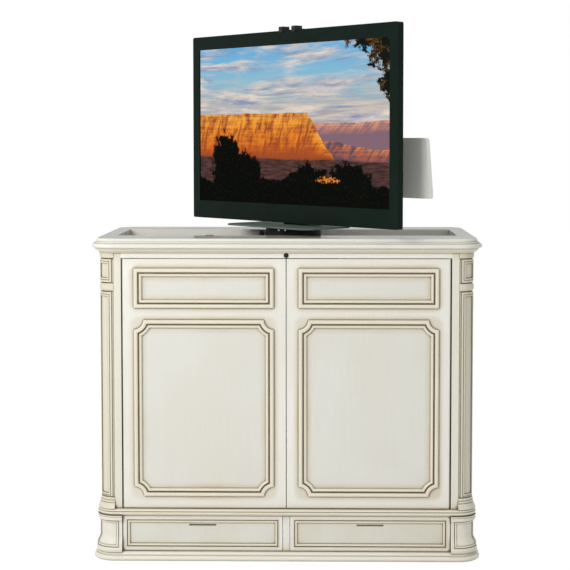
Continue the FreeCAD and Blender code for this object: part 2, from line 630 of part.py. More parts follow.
def drawer_front():
    x = (DRAWER_X0 + DRAWER_X1) / 2
    width, height = DRAWER_X1 - DRAWER_X0, DRAWER_Z1 - DRAWER_Z0
    board = box(DRAWER_X0, DRAWER_X1, FRONT, FRONT + DRAWER_FRONT, DRAWER_Z0, DRAWER_Z1)
    m = POCKET_MARGIN
    pocket = box(DRAWER_X0 + m, DRAWER_X1 - m, FRONT, FRONT + POCKET_DEPTH, DRAWER_Z0 + m, DRAWER_Z1 - m)
    slot_z = DRAWER_Z1 - FINGER_SLOT_DROP
    w, h = FINGER_SLOT_WIDTH / 2, FINGER_SLOT_HEIGHT / 2
    slot = box(x - w, x + w, FRONT, FRONT + DRAWER_FRONT, slot_z - h, slot_z + h)
    bead = moulding(width - 2 * m, height - 2 * m, DRAWER_MOULDING, 0)
    bead = bead.translated(V(x, FRONT + POCKET_DEPTH, (DRAWER_Z0 + DRAWER_Z1) / 2))
    return board.cut(pocket).cut(slot), bead


def drawer_box():
    y0 = FRONT + DRAWER_FRONT
    tub = box(TUB_X0, TUB_X1, y0, DRAWER_BACK, TUB_Z0, TUB_Z1)
    w = DRAWER_WALL
    hollow = box(TUB_X0 + w, TUB_X1 - w, y0 + w, DRAWER_BACK - w, TUB_Z0 + DRAWER_BOTTOM, TUB_Z1)
    slot_z = DRAWER_Z1 - FINGER_SLOT_DROP
    x, reach = (DRAWER_X0 + DRAWER_X1) / 2, FINGER_SLOT_WIDTH / 2 + FINGER_ROOM_SIDE
    finger_room = box(x - reach, x + reach, y0, y0 + w, slot_z - FINGER_ROOM_BELOW, TUB_Z1)
    return tub.cut(hollow).cut(finger_room)


def runner(x_wall, side):
    """A fixed channel against a wall at x_wall; side is +1 where the drawer lies at greater x."""
    depth, half = RUNNER_SPACE - RUNNER_SIDE_GAP, RUNNER_HEIGHT / 2
    y0 = FRONT + DRAWER_FRONT + RUNNER_SETBACK
    outer = box(0, depth, y0, DRAWER_BACK, RUNNER_Z - half, RUNNER_Z + half)
    room = SLIDE_HEIGHT / 2 + SLIDE_GAP
    hollow = box(RUNNER_WEB, depth, y0, DRAWER_BACK, RUNNER_Z - room, RUNNER_Z + room)
    channel = outer.cut(hollow)
    return (channel if side > 0 else mirror_x(channel)).translated(V(x_wall, 0, 0))


def slide(x_wall, side):
    """The moving bar inside a channel, fixed to the drawer box's side."""
    y0, y1 = FRONT + DRAWER_FRONT + RUNNER_SETBACK + SLIDE_SETBACK, DRAWER_BACK - SLIDE_SETBACK
    x0, half = RUNNER_WEB + SLIDE_GAP, SLIDE_HEIGHT / 2
    bar = box(x0, RUNNER_SPACE, y0, y1, RUNNER_Z - half, RUNNER_Z + half)
    return (bar if side > 0 else mirror_x(bar)).translated(V(x_wall, 0, 0))


def deck_board():
    z0 = DRAWER_TOP
    deck = box(-SIDE_INNER, SIDE_INNER, -COLUMN_Y, DECK_BACK, z0, z0 + BOARD)
    tongue = box(-COLUMN_X, COLUMN_X, -RAIL_INNER_Y, -COLUMN_Y, z0, z0 + BOARD)
    return deck.fuse(tongue).removeSplitter()


def drawer_partition():
    """The centre stile between the drawers with the board behind it, under the deck."""
    half = CENTRE_STILE / 2
    upright = box(-half, half, FRONT, DECK_BACK, BASE_HEIGHT, DRAWER_TOP)
    foot = box(-half, half, -RAIL_INNER_Y, DECK_BACK, BOARD, BASE_HEIGHT)
    return upright.fuse(foot).removeSplitter()


def drawer_guide():
    return box(BAY_HALF, BAY_HALF + BOARD, -RAIL_INNER_Y, DECK_BACK, BOARD, DRAWER_TOP)


# ---- lift tower -------------------------------------------------------------
ROD_X = (LIFT_X - ROD_SPACING / 2, LIFT_X + ROD_SPACING / 2)


def lift_base_plate():
    half, depth = CARRIAGE_WIDTH / 2 + PLATE_OVERHANG, PLATE_HALF_DEPTH
    plate = box(LIFT_X - half, LIFT_X + half, ROD_Y - depth, ROD_Y + depth, BOARD, LIFT_FLOOR)
    return plate.cut(Part.makeCompound([cyl(ROD_RADIUS, x, ROD_Y, BOARD, LIFT_FLOOR) for x in ROD_X]))


def guide_rods():
    return Part.makeCompound([cyl(ROD_RADIUS, x, ROD_Y, BOARD, CROSSHEAD_TOP) for x in ROD_X])


def crosshead():
    half, y0 = CARRIAGE_WIDTH / 2 + PLATE_OVERHANG, ROD_Y - CROSSHEAD_FRONT
    head = box(LIFT_X - half, LIFT_X + half, y0, BACK_INNER_Y, CROSSHEAD_BOTTOM, CROSSHEAD_TOP)
    holes = [cyl(ROD_RADIUS, x, ROD_Y, CROSSHEAD_BOTTOM, CROSSHEAD_TOP) for x in ROD_X]
    holes.append(cyl(SCREW_RADIUS + RUNNING_FIT, LIFT_X, ROD_Y, CROSSHEAD_BOTTOM, CROSSHEAD_TOP))
    return head.cut(Part.makeCompound(holes))


def lift_motor():
    w, d, z1 = GEARBOX_WIDTH / 2, GEARBOX_DEPTH / 2, LIFT_FLOOR + GEARBOX_HEIGHT
    gearbox = box(LIFT_X - w, LIFT_X + w, ROD_Y - d, ROD_Y + d, LIFT_FLOOR, z1)
    body = cyl(MOTOR_RADIUS, LIFT_X, ROD_Y, z1, MOTOR_TOP)
    return gearbox.fuse(body).removeSplitter()


def lead_screw():
    return cyl(SCREW_RADIUS, LIFT_X, ROD_Y, SCREW_BOTTOM, CROSSHEAD_TOP)


def screw_coupling():
    top = COUPLING_BOTTOM + COUPLING_HEIGHT
    body = cyl(COUPLING_RADIUS, LIFT_X, ROD_Y, COUPLING_BOTTOM, top)
    body = body.cut(cyl(SCREW_RADIUS, LIFT_X, ROD_Y, SCREW_BOTTOM, top))
    r, z0 = COUPLING_RADIUS, top - COUPLING_FLAT_HEIGHT
    for x0, x1 in ((LIFT_X - r, LIFT_X - COUPLING_FLAT), (LIFT_X + COUPLING_FLAT, LIFT_X + r)):
        body = body.cut(box(x0, x1, ROD_Y - r, ROD_Y + r, z0, top))
    return body


def limit_switch_rail():
    """A rail beside the carriage with a switch near each end of the stroke."""
    side = LIFT_X + CARRIAGE_WIDTH / 2
    x, d, w = side + SWITCH_DEPTH + SWITCH_GAP, SWITCH_RAIL_DEPTH / 2, SWITCH_WIDTH / 2
    out = [box(x, x + SWITCH_RAIL, ROD_Y - d, ROD_Y + d, LIFT_FLOOR, CROSSHEAD_BOTTOM)]
    for z in (LIFT_FLOOR + SWITCH_LOW, CARRIAGE_BOTTOM + SWITCH_TOP_LIFT):
        out.append(box(side + SWITCH_GAP, x, ROD_Y - w, ROD_Y + w, z, z + SWITCH_HEIGHT))
    return Part.makeCompound(out)


def control_box():
    x0, z1 = COLUMN_X - CONTROL_INSET, CONTROL_Z + CONTROL_HEIGHT
    body = box(x0, x0 + CONTROL_WIDTH, BACK_INNER_Y - CONTROL_DEPTH, BACK_INNER_Y, CONTROL_Z, z1)
    edges = [e for e in body.Edges if e.CenterOfMass.y < BACK_INNER_Y - CONTROL_DEPTH / 4]
    return body.makeFillet(CONTROL_FILLET, edges)


# ---- carriage ---------------------------------------------------------------
def bush_levels():
    return (CARRIAGE_BOTTOM, CARRIAGE_TOP - BUSH_HEIGHT)


def carriage():
    half = CARRIAGE_WIDTH / 2
    y0, y1 = CARRIAGE_FRONT, CARRIAGE_FRONT + CARRIAGE_DEPTH
    block = box(LIFT_X - half, LIFT_X + half, y0, y1, CARRIAGE_BOTTOM, CARRIAGE_TOP)
    holes = [cyl(ROD_RADIUS + BUSH_WALL, x, ROD_Y, CARRIAGE_BOTTOM, CARRIAGE_TOP) for x in ROD_X]
    holes.append(cyl(NUT_RADIUS, LIFT_X, ROD_Y, CARRIAGE_BOTTOM, CARRIAGE_TOP))
    return block.cut(Part.makeCompound(holes))


def guide_bushes():
    bore = ROD_RADIUS + RUNNING_FIT
    return Part.makeCompound([ring(ROD_RADIUS + BUSH_WALL, bore, x, ROD_Y, z, z + BUSH_HEIGHT)
                              for x in ROD_X for z in bush_levels()])


def lift_nut():
    bore, z = SCREW_RADIUS + RUNNING_FIT, CARRIAGE_BOTTOM
    return ring(NUT_RADIUS, bore, LIFT_X, ROD_Y, z, z + NUT_HEIGHT)


def carriage_arm():
    half = ARM_WIDTH / 2
    plate_y = CARRIAGE_FRONT - ARM_PLATE
    front = -TURNTABLE_RADIUS - SHELF_MARGIN
    plate = box(LIFT_X - half, LIFT_X + half, plate_y, CARRIAGE_FRONT, CARRIAGE_BOTTOM, SHELF_TOP)
    shelf = box(LIFT_X - half, LIFT_X + half, front, plate_y, SHELF_BOTTOM, SHELF_TOP)
    arm = plate.fuse(shelf)
    foot = SHELF_BOTTOM - GUSSET_DROP
    for x in (LIFT_X - half, LIFT_X + half - GUSSET_THICKNESS):
        web = face_of([(x, plate_y, foot), (x, plate_y, SHELF_BOTTOM), (x, 0, SHELF_BOTTOM)])
        arm = arm.fuse(web.extrude(V(GUSSET_THICKNESS, 0, 0)))
    arm = arm.removeSplitter()
    return arm.cut(cyl(SPINDLE_RADIUS + RUNNING_FIT, LIFT_X, 0, SHELF_BOTTOM, SHELF_TOP))


# ---- turntable --------------------------------------------------------------
def turntable_base():
    bore = SPINDLE_RADIUS + RUNNING_FIT
    return ring(TURNTABLE_RADIUS, bore, LIFT_X, 0, SHELF_TOP, SHELF_TOP + TURNTABLE_BASE)


def thrust_ring():
    return ring(THRUST_OUTER, THRUST_INNER, LIFT_X, 0, SHELF_TOP + TURNTABLE_BASE, PLATFORM_BOTTOM - SEAT_GAP)


def swivel_platform():
    disc = cyl(TURNTABLE_RADIUS, LIFT_X, 0, PLATFORM_BOTTOM, PLATFORM_TOP)
    edges = [e for e in disc.Edges if abs(e.CenterOfMass.z - PLATFORM_TOP) < 1e-6 and e.Closed]
    disc = disc.makeFillet(PLATFORM_FILLET, edges)
    spindle = cyl(SPINDLE_RADIUS, LIFT_X, 0, SHELF_BOTTOM - SPINDLE_END, PLATFORM_BOTTOM)
    return disc.fuse(spindle).removeSplitter()


def spindle_nut():
    z = SHELF_BOTTOM - SPINDLE_END
    outer = SPINDLE_RADIUS + SPINDLE_NUT_WALL
    return ring(outer, SPINDLE_RADIUS, LIFT_X, 0, z, SHELF_BOTTOM - SEAT_GAP)


# ---- television, built facing -Y around the turning axis, then turned -------
def turned(shape):
    return shape.rotated(V(0, 0, 0), Z_AXIS, TURN_ANGLE).translated(V(LIFT_X, 0, 0))


def tv_bezel():
    frame = rounded_plate(TV_WIDTH, TV_HEIGHT, BEZEL_DEPTH, BEZEL_CORNER)
    frame = frame.translated(V(0, BEZEL_FRONT, TV_BOTTOM + TV_HEIGHT / 2))
    w, h, m = SCREEN_WIDTH / 2, SCREEN_HEIGHT / 2, SCREEN_OVERLAP + PANEL_PLAY
    window = box(-w, w, BEZEL_FRONT, BEZEL_BACK, SCREEN_Z - h, SCREEN_Z + h)
    pocket = box(-w - m, w + m, -SCREEN_SETFORWARD, BEZEL_BACK, SCREEN_Z - h - m, SCREEN_Z + h + m)
    return frame.cut(window).cut(pocket)


def tv_screen():
    w, h = SCREEN_WIDTH / 2 + SCREEN_OVERLAP, SCREEN_HEIGHT / 2 + SCREEN_OVERLAP
    return box(-w, w, -SCREEN_SETFORWARD, -SCREEN_SETFORWARD + SCREEN_THICKNESS, SCREEN_Z - h, SCREEN_Z + h)


def tv_chassis():
    w, h = SCREEN_WIDTH / 2 + SCREEN_OVERLAP, SCREEN_HEIGHT / 2 + SCREEN_OVERLAP
    y = -SCREEN_SETFORWARD + SCREEN_THICKNESS
    return box(-w, w, y, y + CHASSIS_THICKNESS, SCREEN_Z - h, SCREEN_Z + h)


def shell_loft(grow, y0, y1):
    """The tapered back of the television, grown outward by grow."""
    wires = []
    for y, taper in ((y0, 0), (y1, SHELL_TAPER)):
        w = TV_WIDTH / 2 - SHELL_INSET - taper + grow
        low, high = TV_BOTTOM + SHELL_INSET + taper - grow, TV_TOP - SHELL_INSET - taper + grow
        corners = [V(-w, y, low), V(w, y, low), V(w, y, high), V(-w, y, high)]
        wires.append(Part.makePolygon(corners + corners[:1]))
    return Part.makeLoft(wires, True, True)


def tv_rear_shell():
    outer = shell_loft(0, BEZEL_BACK, BEZEL_BACK + SHELL_DEPTH)
    return outer.cut(shell_loft(-SHELL_WALL, BEZEL_BACK - 0.01, BEZEL_BACK + SHELL_DEPTH - SHELL_WALL))


def tv_neck():
    half = NECK_DEPTH / 2
    y0, y1 = NECK_SETBACK - half, NECK_SETBACK + half
    neck = box(-NECK_WIDTH / 2, NECK_WIDTH / 2, y0, y1, FOOT_TOP, TV_BOTTOM + BEZEL_BOTTOM)
    return neck.cut(shell_loft(0, BEZEL_BACK, BEZEL_BACK + SHELL_DEPTH))


def tv_foot():
    half, y0 = FOOT_WIDTH / 2, -FOOT_SETFORWARD - FOOT_DEPTH / 2
    foot = box(-half, half, y0, y0 + FOOT_DEPTH, PLATFORM_TOP, FOOT_TOP)
    upright = [e for e in foot.Edges if abs(e.tangentAt(e.FirstParameter).z) > 0.99]
    foot = foot.makeFillet(FOOT_CORNER, upright)
    top = [e for e in foot.Edges if abs(e.CenterOfMass.z - FOOT_TOP) < 1e-6]
    return foot.makeChamfer(FOOT_CHAMFER, top)


def safety_post():
    """The bracket behind the television: flange on the foot, post, and two hooks over the top edge."""
    half, y0, y1 = POST_WIDTH / 2, POST_SETBACK, POST_SETBACK + POST_THICKNESS
    arm_top = TV_TOP - HOOK_ARM_DROP
    post = box(-half, half, y0, y1, FOOT_TOP, arm_top)
    post = post.fuse(box(-half, half, y0 - POST_FLANGE, y0, FOOT_TOP, FOOT_TOP + POST_THICKNESS))
    front, back = BEZEL_FRONT - SEAT_GAP, BEZEL_BACK + SEAT_GAP
    under, top = TV_TOP + SEAT_GAP, TV_TOP + HOOK_THICKNESS
    for x in (-half, half - HOOK_WIDTH):
        x1 = x + HOOK_WIDTH
        cap = box(x, x1, front - HOOK_LIP, back + HOOK_LIP, under, top)
        cap = cap.makeFillet(HOOK_LIP, [e for e in cap.Edges if abs(e.CenterOfMass.z - top) < 1e-6
                                        and abs(e.CenterOfMass.y - front + HOOK_LIP) < 1e-6])
        lip = box(x, x1, front - HOOK_LIP, front, TV_TOP - HOOK_DROP, under)
        drop = box(x, x1, SHELL_CLEAR_Y, SHELL_CLEAR_Y + HOOK_LIP, arm_top - HOOK_ARM, under)
        bridge = box(x, x1, back + HOOK_LIP, SHELL_CLEAR_Y + HOOK_LIP, under, under + HOOK_LIP)
        arm = box(x, x1, SHELL_CLEAR_Y, y0, arm_top - HOOK_ARM, arm_top)
        post = post.fuse([cap, lip, bridge, drop, arm])
    return post.removeSplitter()


def rear_cover():
    z0 = TV_BOTTOM + COVER_LIFT
    z1 = z0 + COVER_HEIGHT
    low, high = COVER_WIDTH_BOTTOM / 2, COVER_WIDTH_TOP / 2
    plate = face_of([(-low, COVER_SETBACK, z0), (low, COVER_SETBACK, z0), (high, COVER_SETBACK, z1),
                     (-high, COVER_SETBACK, z1)]).extrude(V(0, COVER_THICKNESS, 0))
    edges = [e for e in plate.Edges if abs(e.tangentAt(e.FirstParameter).y) > 0.99]
    return plate.makeFillet(COVER_CORNER, edges)


def cover_standoffs():
    out = []
    for x in (-POST_WIDTH / 4, POST_WIDTH / 4):
        for z in (STANDOFF_INSET, COVER_HEIGHT - STANDOFF_INSET):
            start = V(x, POST_SETBACK + POST_THICKNESS, TV_BOTTOM + COVER_LIFT + z)
            out.append(Part.makeCylinder(STANDOFF_RADIUS, COVER_SETBACK - start.y, start, Y_AXIS))
    return Part.makeCompound(out)


# ---- all the pieces ---------------------------------------------------------
def cabinet_pieces():
    pieces = {"base_frame": base_frame(), "bottom_board": bottom_board(), "waist_frame": waist_frame(),
              "cornice": cornice(), "top_frame": top_frame(), "back_panel": back_panel(),
              "cable_grommet": cable_grommet(), "frieze_rail": frieze_rail(), "ir_eye": ir_eye(),
              "deck_board": deck_board(), "drawer_partition": drawer_partition(),
              "touch_latches": touch_latches(), "control_box": control_box()}
    for name, shape in both_sides(side_panel()).items():
        pieces["side_panel_" + name] = shape
    pieces["side_mouldings"] = pair(side_mouldings())
    pieces["stiles"] = pair(stile())
    pieces["drawer_guides"] = pair(drawer_guide())
    for name, shape in both_sides(column()).items():
        pieces["column_front_" + name] = shape
    pieces["columns_rear"] = pair(mirror_y(column()))
    front_plinths = pair(plinth_block())
    pieces["plinth_blocks"] = Part.makeCompound([front_plinths, mirror_y(front_plinths)])
    pieces["hinge_pins"] = pivot_holes(PIVOT_RADIUS)
    channels = Part.makeCompound([runner(CENTRE_STILE / 2, 1), runner(BAY_HALF, -1)])
    pieces["runner_channels"] = pair(channels)
    return pieces


def door_pieces():
    pieces = {}
    for name, shape in both_sides(door()).items():
        pieces["door_" + name] = shape
    for name, shape in both_sides(door_mouldings()).items():
        pieces["door_" + name + "_mouldings"] = shape
    return pieces


def drawer_pieces():
    front, bead = drawer_front()
    slides = Part.makeCompound([slide(CENTRE_STILE / 2, 1), slide(BAY_HALF, -1)])
    pieces = {}
    for part, shape in (("front", front), ("moulding", bead), ("box", drawer_box()), ("slides", slides)):
        for name, half in both_sides(shape).items():
            pieces["drawer_" + name + "_" + part] = half
    return pieces


def lift_pieces():
    return {"lift_base_plate": lift_base_plate(), "guide_rods": guide_rods(), "crosshead": crosshead(),
            "lift_motor": lift_motor(), "lead_screw": lead_screw(), "screw_coupling": screw_coupling(),
            "limit_switch_rail": limit_switch_rail(), "carriage": carriage(), "guide_bushes": guide_bushes(),
            "lift_nut": lift_nut(), "carriage_arm": carriage_arm(), "turntable_base": turntable_base(),
            "thrust_ring": thrust_ring()}


def turning_pieces():
    pieces = {"tv_bezel": tv_bezel(), "tv_screen": tv_screen(), "tv_chassis": tv_chassis(),
              "tv_rear_shell": tv_rear_shell(), "tv_neck": tv_neck(), "tv_foot": tv_foot(),
              "safety_post": safety_post(), "rear_cover": rear_cover(), "cover_standoffs": cover_standoffs()}
    pieces = {name: turned(shape) for name, shape in pieces.items()}
    pieces["swivel_platform"] = swivel_platform()
    pieces["spindle_nut"] = spindle_nut()
    return pieces


def main():
    os.makedirs("parts", exist_ok=True)
    pieces = {}
    for group in (cabinet_pieces, door_pieces, drawer_pieces, lift_pieces, turning_pieces):
        pieces.update(group())
    for name, shape in pieces.items():
        shape.exportStep("parts/" + name + ".step")
        bad = [s for s in shape.Solids if not s.isValid() or s.Volume <= 0]
        print(name, len(shape.Solids), "solids", "BAD" if bad or not shape.Solids else "ok")


main()
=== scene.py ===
import json
import math
import random

import bmesh
import bpy
from mathutils import Matrix, Vector


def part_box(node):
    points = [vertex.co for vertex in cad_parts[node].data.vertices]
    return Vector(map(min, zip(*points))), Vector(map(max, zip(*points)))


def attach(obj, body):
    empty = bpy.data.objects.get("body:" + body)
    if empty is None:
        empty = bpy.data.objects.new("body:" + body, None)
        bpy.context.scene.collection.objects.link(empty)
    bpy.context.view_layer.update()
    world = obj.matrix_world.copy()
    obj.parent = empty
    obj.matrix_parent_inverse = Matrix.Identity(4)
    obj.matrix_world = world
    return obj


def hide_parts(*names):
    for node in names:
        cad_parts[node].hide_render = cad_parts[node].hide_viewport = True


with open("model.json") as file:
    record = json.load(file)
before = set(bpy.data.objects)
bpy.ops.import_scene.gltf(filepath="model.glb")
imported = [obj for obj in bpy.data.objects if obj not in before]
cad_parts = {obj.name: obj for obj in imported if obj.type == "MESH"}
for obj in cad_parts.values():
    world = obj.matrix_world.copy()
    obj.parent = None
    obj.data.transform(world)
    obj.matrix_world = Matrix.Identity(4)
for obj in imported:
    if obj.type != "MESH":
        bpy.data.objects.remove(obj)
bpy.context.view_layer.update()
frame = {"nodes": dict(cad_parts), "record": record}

NODES = frame["nodes"]
SCENE = bpy.context.scene

# ---- driving values, in metres unless a name or comment says otherwise ----------
CAMERA_PLACE = (0.135, -5.683, 1.574)
CAMERA_TILT = 86.76          # degrees, 90 looks level
CAMERA_YAW = 0.88            # degrees
CAMERA_FOCAL_PX = 1452.0     # focal length in pixels of the 570 pixel frame
CAMERA_CLIP = 60.0           # nothing beyond it is drawn
FRAME_PX = 570.0
PRINCIPAL_PX = (300.5, 219.8)
SENSOR_MM = 36.0

ROOM_TONE = (0.95, 0.98, 1.0, 1.0)
ROOM_STRENGTH = 0.47
FLOOR_TONE = 0.86
FLOOR_REACH = 14.0
FLOOR_DROP = 0.0005          # under the cabinet's foot
FLOOR_WHITE = 1.13           # strength of the white that the camera sees on the floor
FLOOR_WHITE_SHARE = 0.86     # the rest is the lit floor, which keeps the shadow
LAMPS = {                    # place, target, width and height, watts, colour
    "key": ((-2.9, -4.0, 3.3), (-0.1, 0, 1.0), (2.6, 2.2), 153.0, (1.0, 0.985, 0.95)),
    "fill": ((2.6, -4.8, 2.2), (0, 0, 0.8), (2.4, 2.4), 16.0, (0.96, 0.98, 1.0)),
    "back": ((1.0, 3.6, 3.6), (0, 0, 1.1), (3.0, 2.0), 46.0, (1.0, 1.0, 1.0)),
}

LIFT_AXIS = Vector((0.020, 0.0, 0.0))
TURN = math.radians(-47.0)   # the television's turn at rest
SCREEN_SETFORWARD = 0.024    # the screen's face in front of the lift axis
SCREEN_THICKNESS = 0.006
TV_BACK = 0.038              # the television's back behind the lift axis

DOOR_MOULDING = 0.033        # width of a door's moulding
DOOR_MOULDING_CORNER = 0.020
DOOR_HALO = 0.036            # how far the glaze beside it reaches
DOOR_MOULDING_GAP = (0.901, 0.944)    # height of the rail between a door's two mouldings
DRAWER_MOULDING = 0.014
DRAWER_MOULDING_CORNER = 0.004
DRAWER_HALO = 0.017
SLOT_DROP = 0.036            # drawer front's top to the middle of its finger slot

EASED = 0.0004               # a bar's eased edge where its call gives no other

FORWARD = (0, -1, 0)
BACKWARD = (0, 1, 0)
UPWARD = (0, 0, 1)


def grey(value):
    return (value, value, value, 1.0)


def scaled(colour, share, lift=0.0):
    """A colour times a share, with a little light added."""
    return tuple(c * share + lift for c in colour[:3]) + (1.0,)


# ---- node graphs ----------------------------------------------------------------
class Graph:
    """The node tree of a material or world, written as short calls that give sockets back."""

    def __init__(self, name, family="materials"):
        self.owner = getattr(bpy.data, family).new(name)
        self.owner.use_nodes = True
        self.tree = self.owner.node_tree
        self.tree.nodes.clear()

    def add(self, kind, inputs=None, **settings):
        node = self.tree.nodes.new(kind)
        for key, value in settings.items():
            setattr(node, key, value)
        for key, value in (inputs or {}).items():
            self.feed(node.inputs[key], value)
        return node

    def feed(self, socket, value):
        if isinstance(value, bpy.types.NodeSocket):
            self.tree.links.new(value, socket)
        else:
            socket.default_value = value

    def math(self, operation, a, b=0.0, clamp=False):
        node = self.add("ShaderNodeMath", {0: a, 1: b}, operation=operation, use_clamp=clamp)
        return node.outputs[0]

    def vector(self, operation, a, b):
        return self.add("ShaderNodeVectorMath", {0: a, 1: b}, operation=operation).outputs[0]

    def split(self, vector):
        """The X, Y and Z sockets of a vector."""
        return self.add("ShaderNodeSeparateXYZ", {0: vector}).outputs

    def joined(self, x, y, z):
        return self.add("ShaderNodeCombineXYZ", {0: x, 1: y, 2: z}).outputs[0]

    def mix(self, factor, a, b, blend="MIX"):
        """A colour between a and b. A Mix node's colours are its inputs 6 and 7 and its output 2."""
        node = self.add("ShaderNodeMix", data_type="RGBA", blend_type=blend)
        for socket, value in ((0, factor), (6, a), (7, b)):
            self.feed(node.inputs[socket], value)
        return node.outputs[2]

    def ramp(self, factor, stops):
        node = self.add("ShaderNodeValToRGB", {"Fac": factor})
        elements = node.color_ramp.elements
        while len(elements) < len(stops):
            elements.new(0.5)
        for element, (place, colour) in zip(elements, stops):
            element.position = place
            element.color = (*colour, 1.0)
        return node.outputs["Color"]

    def span(self, value, low, high, to_low=0.0, to_high=1.0, smooth=False):
        """A value's place between low and high, kept within to_low and to_high."""
        kind = "SMOOTHSTEP" if smooth else "LINEAR"
        node = self.add("ShaderNodeMapRange", {0: value, 1: low, 2: high, 3: to_low, 4: to_high},
                        interpolation_type=kind)
        return node.outputs[0]

    def stretched(self, where, scale, shift=(0, 0, 0), turn=0.0):
        node = self.add("ShaderNodeMapping", {"Vector": where, "Scale": scale, "Location": shift,
                                              "Rotation": (0, 0, turn)})
        return node.outputs[0]

    def place(self, scale=(1, 1, 1), shift=(0, 0, 0)):
        """The place on the object, in metres times a scale."""
        return self.stretched(self.add("ShaderNodeTexCoord").outputs["Object"], scale, shift)

    def noise(self, where, scale, detail=3.0, roughness=0.5):
        node = self.add("ShaderNodeTexNoise", {"Vector": where, "Scale": scale, "Detail": detail,
                                               "Roughness": roughness})
        return node.outputs["Fac"]

    def bump(self, height, strength, distance):
        node = self.add("ShaderNodeBump", {"Height": height, "Strength": strength, "Distance": distance})
        return node.outputs[0]

    def blended(self, factor, first, second):
        """A shader between two shader nodes."""
        return self.add("ShaderNodeMixShader", {0: factor, 1: first.outputs[0], 2: second.outputs[0]})

    def show(self, shader, output="ShaderNodeOutputMaterial"):
        self.add(output, {"Surface": shader.outputs[0]})
        return self.owner

    def finish(self, **inputs):
        """The material, from values for the Principled shader's own sockets."""
        shader = self.add("ShaderNodeBsdfPrincipled")
        for key, value in inputs.items():
            self.feed(shader.inputs[key.replace("_", " ")], value)
        return self.show(shader)


# ---- antique paint --------------------------------------------------------------
GLAZE = (0.165, 0.135, 0.062, 1.0)           # brown glaze left deep in a corner
GLAZE_LIGHT = (0.55, 0.455, 0.265, 1.0)      # the thin glaze wiped over the paint
STREAK = (0.70, 0.67, 0.57, 1.0)
FIELD_TONE = (0.940, 0.962, 0.990, 1.0)      # tints the coat inside a moulding cooler
HALO = 0.54                  # strength of the glaze left beside a moulding
HALO_OUTSIDE = 0.65          # its reach outside the moulding, against its reach inside
FIELD_EDGE = (0.006, -0.004)      # where the cooler coat fades in, outward from the moulding's inner edge
HALO_PARTING = (0.003, 0.004)     # where the halo inside gives way to the one outside
FACE_EDGE = 0.001            # depth over which a face's own marks fade out
SLOT_EDGE = (0.0045, 0.0040)      # above and below a finger slot's middle
SLOT_FACE = (0.0010, 0.0020)      # behind the drawer's face
TOP_FACE = (0.80, 0.99)      # how upright a normal is where the top's varnish fades in
TOP_TONE = (0.74, 0.73, 0.64, 1.0)           # the varnished top seen from above
TOP_PAINTED_REFLECTION = (0.33, 0.345, 0.28, 1.0)       # painted reflection: the darker tone that the varnished top shows at a flat angle
GRAZING = (0.45, 0.92)       # from steep to flat, as Layer Weight's Facing gives it, where the top's painted reflection comes in
CLOSE_GLAZE = 0.013          # how far from a corner the dark glaze reaches
WIDE_GLAZE = 0.060           # and the light glaze
CLOSE_FROM = (0.13, 0.40)    # how enclosed a place is where the dark glaze starts and is full
WIDE_FROM = (0.015, 0.22)    # and the light glaze
CLOSE_STRENGTH = 0.97
PAINT_SHINE = 0.22
TOP_SHINE = 0.006            # low, because the top's tones hold its varnish's reflection
BRUSH_MARKS = (180, 180, 5)  # to a metre, so they are long from top to bottom
FLECKS = 160.0               # to a metre
AO_SAMPLES = 14


def cavity(g, distance):
    """How enclosed the surface is: 0 in the open, 1 deep in a corner."""
    openness = g.add("ShaderNodeAmbientOcclusion", {"Distance": distance}, samples=AO_SAMPLES)
    return g.math("SUBTRACT", 1.0, openness.outputs["AO"])


def frame_distance(g, x, z, outline):
    """Distance outward from a rounded rectangle on the front: x0, x1, z0, z1 and its corner's radius."""
    x0, x1, z0, z1, corner = outline
    over = []
    for value, low, high in ((x, x0, x1), (z, z0, z1)):
        away = g.math("ABSOLUTE", g.math("SUBTRACT", value, (low + high) / 2))
        over.append(g.math("MAXIMUM", g.math("SUBTRACT", away, (high - low) / 2 - corner), 0.0))
    reach = g.math("ADD", g.math("MULTIPLY", over[0], over[0]), g.math("MULTIPLY", over[1], over[1]))
    return g.math("SUBTRACT", g.math("SQRT", reach), corner)


def framed_tone(g, tone, clouds, frames, behind):
    """A cooler coat inside each moulding and glaze left beside it, on the face in front of a depth.

    It uses the distance from the cabinet's middle, so both doors or drawers get it.
    """
    where = g.split(g.place())
    x, z = g.math("ABSOLUTE", where[0]), where[2]
    front = g.span(where[1], behind, behind - FACE_EDGE)
    uneven = g.math("MULTIPLY", g.span(clouds, 0.30, 0.70, 0.35, 1.0), front)
    for (x0, x1, z0, z1), width, corner, reach in frames:
        inside = frame_distance(g, x, z, (x0 + width, x1 - width, z0 + width, z1 - width, corner))
        outside = frame_distance(g, x, z, (x0, x1, z0, z1, corner))
        field = g.math("MULTIPLY", g.span(inside, *FIELD_EDGE), front)
        tone = g.mix(field, tone, g.mix(1.0, tone, FIELD_TONE, "MULTIPLY"))
        parting_low, parting_high = HALO_PARTING
        left_in = g.math("MULTIPLY", g.span(inside, -reach, 0.0, 0.0, HALO, smooth=True),
                         g.span(inside, parting_high, parting_low))
        left_out = g.math("MULTIPLY", g.span(outside, HALO_OUTSIDE * reach, 0.0, 0.0, HALO, smooth=True),
                          g.span(inside, parting_low, parting_high))
        halo = g.math("MULTIPLY", g.math("ADD", left_in, left_out), uneven)
        tone = g.mix(halo, tone, GLAZE_LIGHT)
    return tone


def outside_slot(g, height, face):
    """1 outside a finger slot at a height, 0 on the walls inside it, where no glaze was brushed."""
    where = g.split(g.place())
    level = g.span(g.math("ABSOLUTE", g.math("SUBTRACT", where[2], height)), *SLOT_EDGE)
    deep = g.span(where[1], *(face + step for step in SLOT_FACE))
    return g.math("SUBTRACT", 1.0, g.math("MULTIPLY", level, deep))


